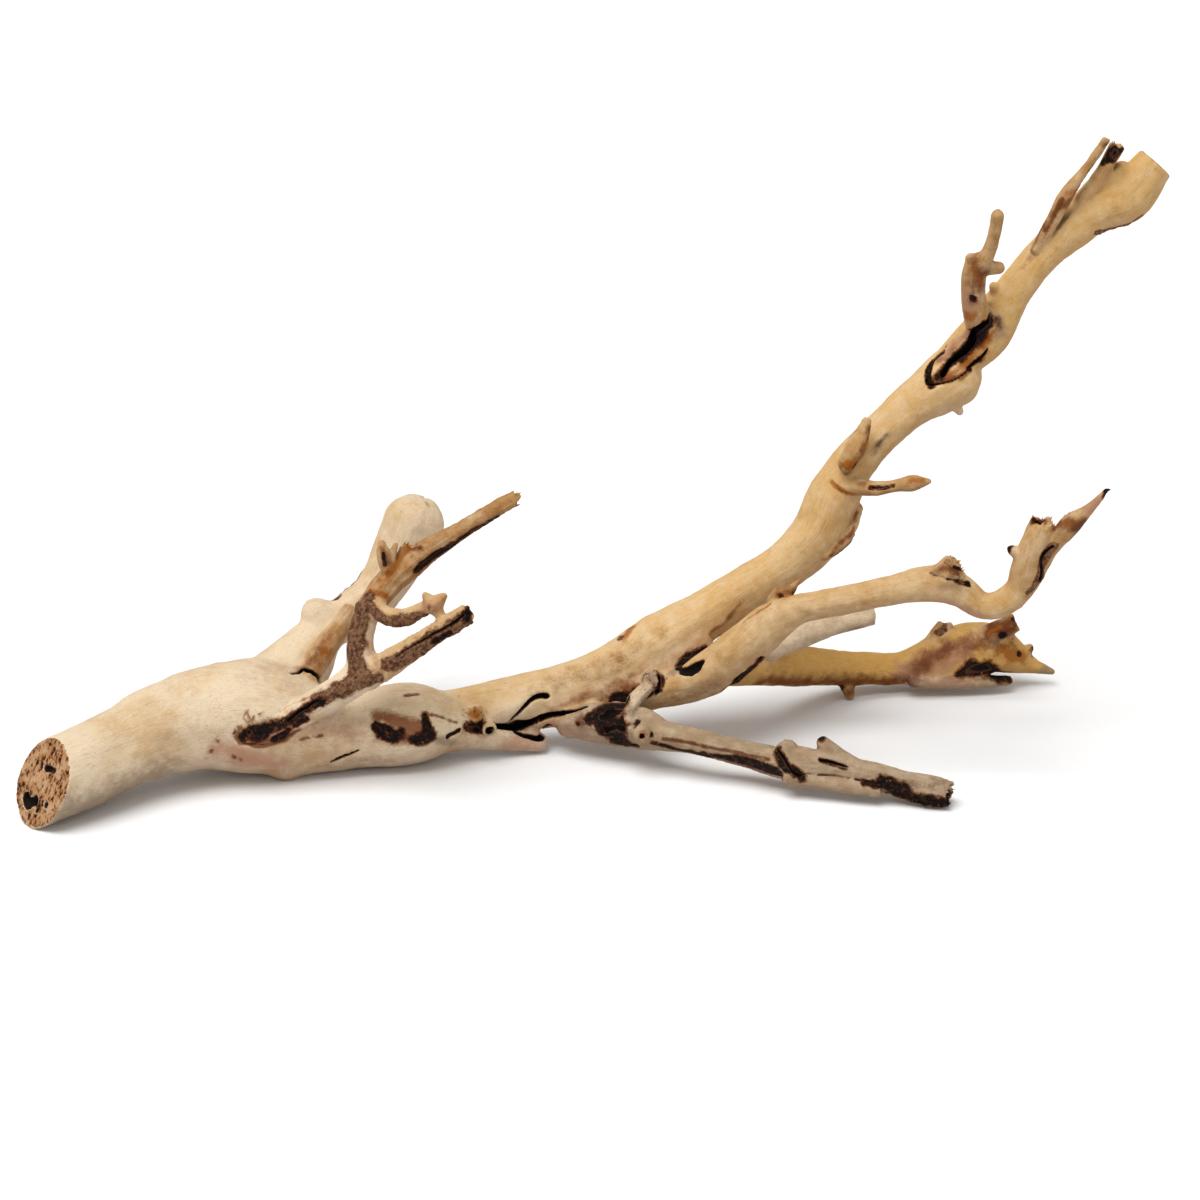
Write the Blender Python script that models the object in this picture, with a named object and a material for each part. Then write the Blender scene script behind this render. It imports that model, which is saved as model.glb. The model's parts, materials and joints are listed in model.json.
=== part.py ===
"""A piece of driftwood: a sandblasted vine branch, grown as one piece and sawn at two ends.

The branch lies on its stem, on the tip of its front limb and on a small foot under its low limb. Each
limb is a tapering sweep through a few stations. The sweeps overlap where one limb grows out of another,
a voxel remesh fuses them into one closed body, and two plane cuts make the sawn ends.

Stations are in millimetres (x, y, z, radius), measured from the point below the sawn end where the
stem first meets the ground. The finished part is in metres, with its origin at the centre of its
footprint and its lowest point on z = 0.
"""

import math

import bmesh
import bpy
from mathutils import Matrix, Vector

MM = 0.001
NODE_NAME = "driftwood"

# Centre of the footprint in station coordinates, and how far the lowest bump lies below their ground.
FOOTPRINT_CENTRE = Vector((-0.5, 93.0, 0.0))
GROUND = -0.2

# Sweeps: points per station on the spline, sides of a tube, rings of a rounded end.
SPLINE_STEPS = 4
TUBE_RESOLUTION = 5
DOME_RINGS = 3

# Fusing and thinning the sweeps.
VOXEL = 2.2
SMOOTH_FACTOR = 0.5
SMOOTH_REPEATS = 3
KEPT_TRIANGLES = 6600

# Wood colour, roughness and metallic value.
WOOD_COLOUR = (0.62, 0.43, 0.25, 1.0)
WOOD_ROUGHNESS = 0.72

# The main stem and its burl, from the sawn end to where it splits into a thin lower lip.
STEM = (
    (-306, -8, 15.5, 20), (-292, 2, 19.5, 20), (-271, 19, 22.5, 20), (-248, 40, 26, 20.5),
    (-227, 54, 31, 23), (-207, 64, 32, 26.5), (-182, 69, 31, 29.5), (-158, 71, 24.5, 24),
    (-132, 75, 20.5, 20), (-104, 80, 22, 22), (-88, 84, 20, 17), (-72, 88, 16, 12),
    (-54, 90, 10, 8), (-33, 92, 6, 5),
)
STEM_HEEL = ((-165, 66, 13, 12), (-165, 60, 4.5, 5))
SPLIT_RIDGE = (
    (-86, 88, 20, 12), (-67, 91, 19, 9), (-51, 94, 25, 8), (-33, 99, 30, 7), (-13, 104, 31, 7),
)
SPLIT_WEB = ((-72, 92, 18, 9), (-45, 100, 18, 8), (-16, 98, 22, 8))

# The thick broken limb that stands up behind the stem.
REAR_STUB = (
    (-178, 88, 32, 23), (-162, 102, 46, 18), (-149, 114, 60, 12), (-134, 123, 68, 11.5),
    (-121, 131, 76, 12), (-110, 139, 93, 13.5), (-101, 145, 111, 15.5),
)
REAR_KNOB = ((-144, 112, 65, 10), (-151, 114, 71, 9))

# The mast: the tall limb, its upper length growing out of a collar, and what grows from it.
MAST = (
    (-91, 92, 21, 11), (-64, 97, 26, 10.5), (-22, 105, 31.5, 11.5), (5, 111, 40, 12.5),
    (30, 119, 52.5, 15), (54, 127, 63, 14), (81, 134, 78, 13), (103, 138, 92, 13),
    (117, 141, 107, 14), (124, 144, 124, 14), (134, 147, 142, 11.5), (148, 151, 158, 10.5),
    (167, 155, 175, 11), (188, 158, 189, 15),
)
FORK_WEB = ((-13, 104, 28, 10), (15, 106, 34, 11), (40, 109, 43, 9.5), (53, 113, 51, 8))
MAST_TOP = (
    (187, 159, 196, 10), (205, 160, 213, 12), (219, 162, 236, 9), (234, 164, 256, 8.5),
    (249, 166, 270, 10), (262, 168, 280, 11.5), (277, 170, 286, 12.5), (291, 171, 303, 9.5),
    (302, 172, 316, 9.5),
)
FORK_OUTER_PRONG = (
    (234, 160, 267, 4), (241, 159, 284, 4.5), (250, 158, 298, 4.5), (258, 158, 309, 3.5),
    (263, 158, 317, 2.5),
)
FORK_INNER_PRONG = ((251, 164, 287, 5.5), (261, 164, 298, 4.5), (270, 164, 312, 3))
ANTLER = (
    (200, 152, 223, 8), (196, 148, 237, 6.5), (196, 144, 254, 6), (201, 142, 261, 4),
    (204, 140, 272, 3.5), (205, 138, 282, 3.5),
)
ANTLER_PEG = ((201, 143, 254, 3.5), (209, 143, 254, 2.5))
SIDE_TWIG = (
    (134, 138, 136, 5), (140, 131, 137, 4.5), (147, 127, 138, 4), (157, 123, 141, 3.5),
    (165, 119, 144, 4), (172, 116, 146, 2.5),
)
MAST_FLAP = ((133, 134, 153, 5), (137, 135, 163, 5), (141, 138, 171, 3.5))

# The middle limb, bent up at its end, with its knob and the twig beside its broken top.
MIDDLE_LIMB = (
    (-32, 98, 21, 7), (0, 100, 25, 8.5), (29, 100, 32, 9.5), (48, 97, 38.5, 10), (63, 91, 50, 11.5),
    (76, 86, 64, 12), (92, 82, 80, 10.5), (104, 79, 88, 8), (120, 78, 92, 7.5), (151, 78, 99, 8),
    (174, 78, 103, 10.5), (187, 78, 99, 9), (198, 76, 92, 7.5), (208, 75, 93, 7.5), (217, 75, 101, 7.5),
    (220, 74, 112, 8), (223, 73, 124, 8), (227, 72, 135, 8), (229, 72, 138, 7.5),
)
MIDDLE_KNOB = ((178, 73, 107, 7), (184, 69, 113, 6.5))
MIDDLE_TIP = (
    (216, 74, 95, 4.5), (223, 72, 106, 4), (229, 70, 118, 3.5), (233, 69, 128, 4), (240, 68, 139, 6),
    (249, 66, 148, 3.5), (257, 64, 158, 2.5),
)

# The low limb, which swings back to the ground on its foot, and the loose sliver above it.
LOW_LIMB = (
    (60, 98, 48, 9), (73, 112, 42, 11), (90, 130, 34, 11), (111, 150, 25, 11), (140, 170, 15.5, 10),
    (169, 176, 12.5, 9.5), (189, 176, 17, 13.5), (206, 178, 22, 15.5), (220, 179, 24, 13), (231, 180, 19, 9.5),
    (242, 182, 13, 5), (253, 182, 8.5, 2.5),
)
LOW_LIP = ((177, 166, 10, 5), (202, 168, 10, 4), (225, 170, 9.5, 3.5), (232, 172, 8.5, 3))
LOW_FINGER = ((216, 172, 33, 5), (225, 170, 40, 4.5), (230, 170, 44, 3.5))
LOW_FOOT = ((138, 164, 9, 4.5), (140, 162, 2.5, 3))
SLIVER = ((92, 118, 50, 6.5), (108, 122, 55, 5.5), (129, 126, 61, 4.5), (148, 130, 64, 4))

# The front limb, which comes forward to the ground.
FRONT_LIMB = (
    (-16, 91, 17, 7.5), (3, 84, 21, 10.5), (21, 76, 22, 10.5), (34, 69, 20, 8), (52, 61, 20, 7),
    (76, 54, 16.5, 7), (95, 47, 15, 8.5), (104, 44, 15.5, 9.5), (122, 40, 15, 7.5), (140, 36, 12.5, 7.5),
    (157, 33, 9, 7), (170, 29, 8, 8), (181, 26, 6, 6),
)
FRONT_NUB = ((129, 42, 16, 5), (119, 44, 24, 4.5), (116, 45, 27, 4))

# The spur in front of the stem, with its riser, the long lance, the short curl and the peg.
SPUR = ((-183, 47, 29, 8), (-169, 48, 33, 7.5), (-153, 50, 43, 7.5), (-137, 52, 52, 8), (-121, 54, 63, 9))
SPUR_RISER = ((-121, 54, 63, 8), (-124, 56, 78, 6.5), (-120, 62, 95, 6))
LANCE = (
    (-120, 62, 95, 6), (-109, 66, 108, 6.5), (-100, 70, 115, 6.5), (-89, 76, 122, 6), (-75, 80, 130, 5),
    (-57, 84, 140, 4.5), (-43, 88, 147, 3.5),
)
CURL = ((-117, 60, 98, 4.5), (-110, 54, 95, 4.5), (-101, 50, 95, 4), (-92, 46, 101, 3.5), (-84, 42, 106, 4.5))
PEG = ((-113, 50, 67, 7), (-102, 46, 76, 6.5), (-85, 40, 90, 5.5), (-67, 34, 104, 4.5))

LIMBS = {
    "stem": STEM, "stem_heel": STEM_HEEL, "split_ridge": SPLIT_RIDGE, "split_web": SPLIT_WEB,
    "rear_stub": REAR_STUB, "rear_knob": REAR_KNOB, "mast": MAST, "fork_web": FORK_WEB,
    "mast_top": MAST_TOP, "fork_outer_prong": FORK_OUTER_PRONG, "fork_inner_prong": FORK_INNER_PRONG,
    "antler": ANTLER, "antler_peg": ANTLER_PEG,
    "side_twig": SIDE_TWIG, "mast_flap": MAST_FLAP, "middle_limb": MIDDLE_LIMB,
    "middle_knob": MIDDLE_KNOB, "middle_tip": MIDDLE_TIP, "low_limb": LOW_LIMB, "low_lip": LOW_LIP,
    "low_finger": LOW_FINGER, "low_foot": LOW_FOOT, "sliver": SLIVER, "front_limb": FRONT_LIMB,
    "front_nub": FRONT_NUB, "spur": SPUR, "spur_riser": SPUR_RISER, "lance": LANCE, "curl": CURL,
    "peg": PEG,
}

# Saw cuts: a point on the cut, the direction in which the wood beyond it is taken away, and the width
# of the block that takes it away.
SAW_CUTS = {
    "stem_saw": ((-283.5, 9.5, 21.8), (-0.66, -0.62, 0.42), 140),
    "mast_saw": ((291, 171, 303), (0.64, 0.08, 0.76), 36),
}


def clear_scene():
    """Remove every object, so that the script can run in any open file."""
    for item in list(bpy.data.objects):
        bpy.data.objects.remove(item, do_unlink=True)


def to_part(point):
    """Turn a point in station millimetres into the part's own frame in metres."""
    return (Vector(point) - FOOTPRINT_CENTRE - Vector((0.0, 0.0, GROUND))) * MM


def spline_through(stations):
    """Sample a Catmull-Rom curve through the stations, radius included."""
    rows = [Vector(station) for station in stations]
    rows = [2.0 * rows[0] - rows[1], *rows, 2.0 * rows[-1] - rows[-2]]
    samples = []
    for before, start, end, after in zip(rows, rows[1:], rows[2:], rows[3:]):
        for step in range(SPLINE_STEPS):
            t = step / SPLINE_STEPS
            samples.append(0.5 * (
                2.0 * start
                + (end - before) * t
                + (2.0 * before - 5.0 * start + 4.0 * end - after) * t ** 2
                + (3.0 * start - before - 3.0 * end + after) * t ** 3
            ))
    samples.append(rows[-2])
    return samples


def dome(tip, inner):
    """Rings that round off a tube beyond its last sample."""
    outward = (tip.xyz - inner.xyz).normalized()
    rings = []
    for ring in range(1, DOME_RINGS + 1):
        angle = 0.5 * math.pi * ring / (DOME_RINGS + 0.3)
        place = tip.xyz + outward * tip.w * math.sin(angle)
        rings.append(Vector((*place, tip.w * math.cos(angle))))
    return rings


def add_limb(name, stations):
    """Sweep one limb as a curve with a round bevel, and return it as a mesh object."""
    samples = spline_through(stations)
    samples = [
        *reversed(dome(samples[0], samples[1])),
        *samples,
        *dome(samples[-1], samples[-2]),
    ]
    curve = bpy.data.curves.new(name, "CURVE")
    curve.dimensions = "3D"
    curve.bevel_depth = 1.0
    curve.bevel_resolution = TUBE_RESOLUTION
    curve.use_fill_caps = True
    spline = curve.splines.new("POLY")
    spline.points.add(len(samples) - 1)
    for point, sample in zip(spline.points, samples):
        point.co = (*to_part(sample.xyz), 1.0)
        point.radius = sample.w * MM
    sweep = bpy.data.objects.new(name, curve)
    mesh = bpy.data.meshes.new_from_object(sweep)
    bpy.data.objects.remove(sweep, do_unlink=True)
    return mesh


def gather(meshes):
    """Put the limbs' meshes into one object, still overlapping."""
    gathered = bmesh.new()
    for mesh in meshes:
        gathered.from_mesh(mesh)
        bpy.data.meshes.remove(mesh)
    bmesh.ops.recalc_face_normals(gathered, faces=gathered.faces)
    branch_mesh = bpy.data.meshes.new(NODE_NAME)
    gathered.to_mesh(branch_mesh)
    gathered.free()
    branch = bpy.data.objects.new(NODE_NAME, branch_mesh)
    bpy.context.scene.collection.objects.link(branch)
    return branch


def bake_modifiers(branch):
    """Replace the object's mesh by its evaluated mesh."""
    bpy.context.view_layer.update()
    evaluated = branch.evaluated_get(bpy.context.evaluated_depsgraph_get())
    baked = bpy.data.meshes.new_from_object(evaluated)
    branch.modifiers.clear()
    branch.data = baked


def fuse(branch):
    """Fuse the overlapping sweeps into one closed, softly blended body."""
    remesh = branch.modifiers.new("fuse", "REMESH")
    remesh.mode = "VOXEL"
    remesh.voxel_size = VOXEL * MM
    smooth = branch.modifiers.new("soften", "SMOOTH")
    smooth.factor = SMOOTH_FACTOR
    smooth.iterations = SMOOTH_REPEATS
    bake_modifiers(branch)


def thin(branch):
    """Thin the fused mesh to about KEPT_TRIANGLES triangles."""
    branch.data.calc_loop_triangles()
    decimate = branch.modifiers.new("thin", "DECIMATE")
    decimate.ratio = KEPT_TRIANGLES / len(branch.data.loop_triangles)
    decimate.use_collapse_triangulate = True
    bake_modifiers(branch)


def add_saw_block(name, point, outward, width):
    """Make a block whose near face is the cut's plane."""
    block_mesh = bpy.data.meshes.new(name)
    shape = bmesh.new()
    bmesh.ops.create_cube(shape, size=width * MM)
    turn = Vector(outward).to_track_quat("Z", "Y").to_matrix().to_4x4()
    bmesh.ops.translate(shape, verts=shape.verts, vec=(0.0, 0.0, 0.5 * width * MM))
    bmesh.ops.transform(shape, verts=shape.verts, matrix=Matrix.Translation(to_part(point)) @ turn)
    shape.to_mesh(block_mesh)
    shape.free()
    block = bpy.data.objects.new(name, block_mesh)
    block.hide_render = True
    block.display_type = "WIRE"
    bpy.context.scene.collection.objects.link(block)
    return block


def saw(branch):
    """Saw off the ends, which leaves two flat faces."""
    for name, (point, outward, width) in SAW_CUTS.items():
        cut = branch.modifiers.new(name, "BOOLEAN")
        cut.operation = "DIFFERENCE"
        cut.solver = "EXACT"
        cut.object = add_saw_block(name, point, outward, width)


def wood_material():
    """Weathered bare wood."""
    material = bpy.data.materials.new("bare_wood")
    material.use_nodes = True
    shader = material.node_tree.nodes["Principled BSDF"]
    shader.inputs["Base Color"].default_value = WOOD_COLOUR
    shader.inputs["Roughness"].default_value = WOOD_ROUGHNESS
    shader.inputs["Metallic"].default_value = 0.0
    return material


def build():
    """Build the branch."""
    clear_scene()
    branch = gather([add_limb(name, stations) for name, stations in LIMBS.items()])
    fuse(branch)
    thin(branch)
    saw(branch)
    branch.data.materials.clear()
    branch.data.materials.append(wood_material())


build()
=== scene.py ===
"""Looks of a sandblasted vine branch: bare cream wood, splits, broken stubs and bark left in the hollows.

The branch is grown in a distance field. Each limb is a tube through its stations, with ridges along its
grain, and the tubes run softly into one another. Splits, sockets and saw cuts are then taken out of the
field, its surface becomes one closed mesh, and stains that follow the wood are stored on the mesh for
the finish to read, together with where the finish paints shade: deep in cuts, in crevices and on the
faces turned down. A few stains are painted shadows. Lengths here are millimetres in station coordinates
until the mesh is made.
"""

from __future__ import annotations

import json
import logging
import math
from dataclasses import dataclass, field
from enum import Enum
from typing import Any, Sequence

import bmesh
import bpy
import numpy as np
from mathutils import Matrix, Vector


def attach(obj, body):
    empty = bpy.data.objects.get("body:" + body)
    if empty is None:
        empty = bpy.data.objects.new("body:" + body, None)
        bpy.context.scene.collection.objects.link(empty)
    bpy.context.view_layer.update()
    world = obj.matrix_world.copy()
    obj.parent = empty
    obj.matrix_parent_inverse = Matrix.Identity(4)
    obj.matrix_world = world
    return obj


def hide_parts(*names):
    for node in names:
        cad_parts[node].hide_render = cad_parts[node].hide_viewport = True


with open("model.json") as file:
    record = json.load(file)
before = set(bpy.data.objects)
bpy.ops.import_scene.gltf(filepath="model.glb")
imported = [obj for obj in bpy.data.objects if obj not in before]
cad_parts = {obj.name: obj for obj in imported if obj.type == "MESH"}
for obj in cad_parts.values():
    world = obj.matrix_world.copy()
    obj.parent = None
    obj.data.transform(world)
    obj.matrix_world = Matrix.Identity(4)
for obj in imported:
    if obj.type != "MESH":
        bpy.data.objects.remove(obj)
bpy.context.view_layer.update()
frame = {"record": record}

log = logging.getLogger("driftwood")

MM = 0.001
NODE = "driftwood"

Array = np.ndarray
Point = tuple[float, float, float]
Station = tuple[float, float, float, float]
Spot = tuple[float, float, float, float, float]


def mount(name: str) -> dict[str, Any]:
    """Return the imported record's mount of that name."""
    return next(item for item in frame["record"]["mounts"] if item["name"] == name)


# The centre of the big saw cut in station coordinates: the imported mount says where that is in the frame.
SAWN_CENTRE = np.array((-283.5, 9.5, 21.8))
STATION_ORIGIN = np.array(mount("sawn_end")["pos_m"]) / MM - SAWN_CENTRE


class LatticeNoise:
    """Smooth noise between -1 and 1 on a seeded lattice that repeats far outside the branch."""

    SIDE = 48

    def __init__(self, seed: int) -> None:
        """Fill the lattice from the seed."""
        values = np.random.default_rng(seed).uniform(-1.0, 1.0, (self.SIDE,) * 3)
        self.values = values.astype(np.float32).ravel()

    def at(self, points: Array, size: float) -> Array:
        """Noise at some points.

        Args:
            points: places, as rows of three.
            size: the lattice's spacing.

        Returns:
            One value for each point.
        """
        scaled = points / size
        corner = np.floor(scaled)
        part = (scaled - corner).astype(np.float32)
        part = part * part * (3.0 - 2.0 * part)
        low = corner.astype(np.int64) % self.SIDE
        high = (low + 1) % self.SIDE
        total = np.zeros(len(points), np.float32)
        for i in (0, 1):
            x = (high if i else low)[:, 0] * self.SIDE
            wx = part[:, 0] if i else 1.0 - part[:, 0]
            for j in (0, 1):
                y = (x + (high if j else low)[:, 1]) * self.SIDE
                wy = wx * (part[:, 1] if j else 1.0 - part[:, 1])
                for k in (0, 1):
                    z = y + (high if k else low)[:, 2]
                    total += wy * (part[:, 2] if k else 1.0 - part[:, 2]) * self.values[z]
        return total

    def fractal(self, points: Array, size: float, octaves: int = 3, gain: float = 0.5) -> Array:
        """Sum octaves of the noise.

        Args:
            points: places, as rows of three.
            size: the spacing of the first octave.
            octaves: how many octaves to add.
            gain: each octave's strength over the one before.

        Returns:
            One value for each point, mostly between -1 and 1.
        """
        total = np.zeros(len(points), np.float32)
        strength = 1.0
        weight = 0.0
        for octave in range(octaves):
            total += strength * self.at(points + 17.3 * octave, size / 2.0 ** octave)
            weight += strength
            strength *= gain
        return total / weight


class Tone(Enum):
    """How a limb's bare wood is toned: its shares of yellow, grey and tawny brown."""

    CREAM = (0.13, 0.05, 0.08)
    TAN = (0.52, 0.0, 0.36)
    STRAW = (0.56, 0.0, 0.16)
    YELLOW = (0.66, 0.06, 0.15)
    OCHRE = (0.9, 0.0, 0.22)
    GREY = (0.1, 0.45, 0.15)
    DUSKY = (0.05, 0.65, 0.45)
    WARM = (0.52, 0.0, 0.54)
    RUSSET = (0.4, 0.05, 0.68)
    BROWN = (0.2, 0.3, 0.8)


@dataclass(frozen=True)
class SawCut:
    """A flat cut through a limb: a point on it, and the direction that was taken away."""

    point: Point
    outward: Point


@dataclass(frozen=True)
class Limb:
    """One limb: its stations as x, y, z and radius, and how its wood is shaped and toned."""

    stations: tuple[Station, ...]
    blend: float = 5.0
    ridges: float = 0.06
    flutes: float = 0.0
    torn: float = 0.0
    oval: float = 0.04
    tone: Tone = Tone.CREAM
    saw: SawCut | None = None


STEM_SAW = SawCut((-283.5, 9.5, 21.8), (-0.66, -0.62, 0.42))
MAST_SAW = SawCut((291.0, 171.0, 303.0), (0.64, 0.08, 0.76))

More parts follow.
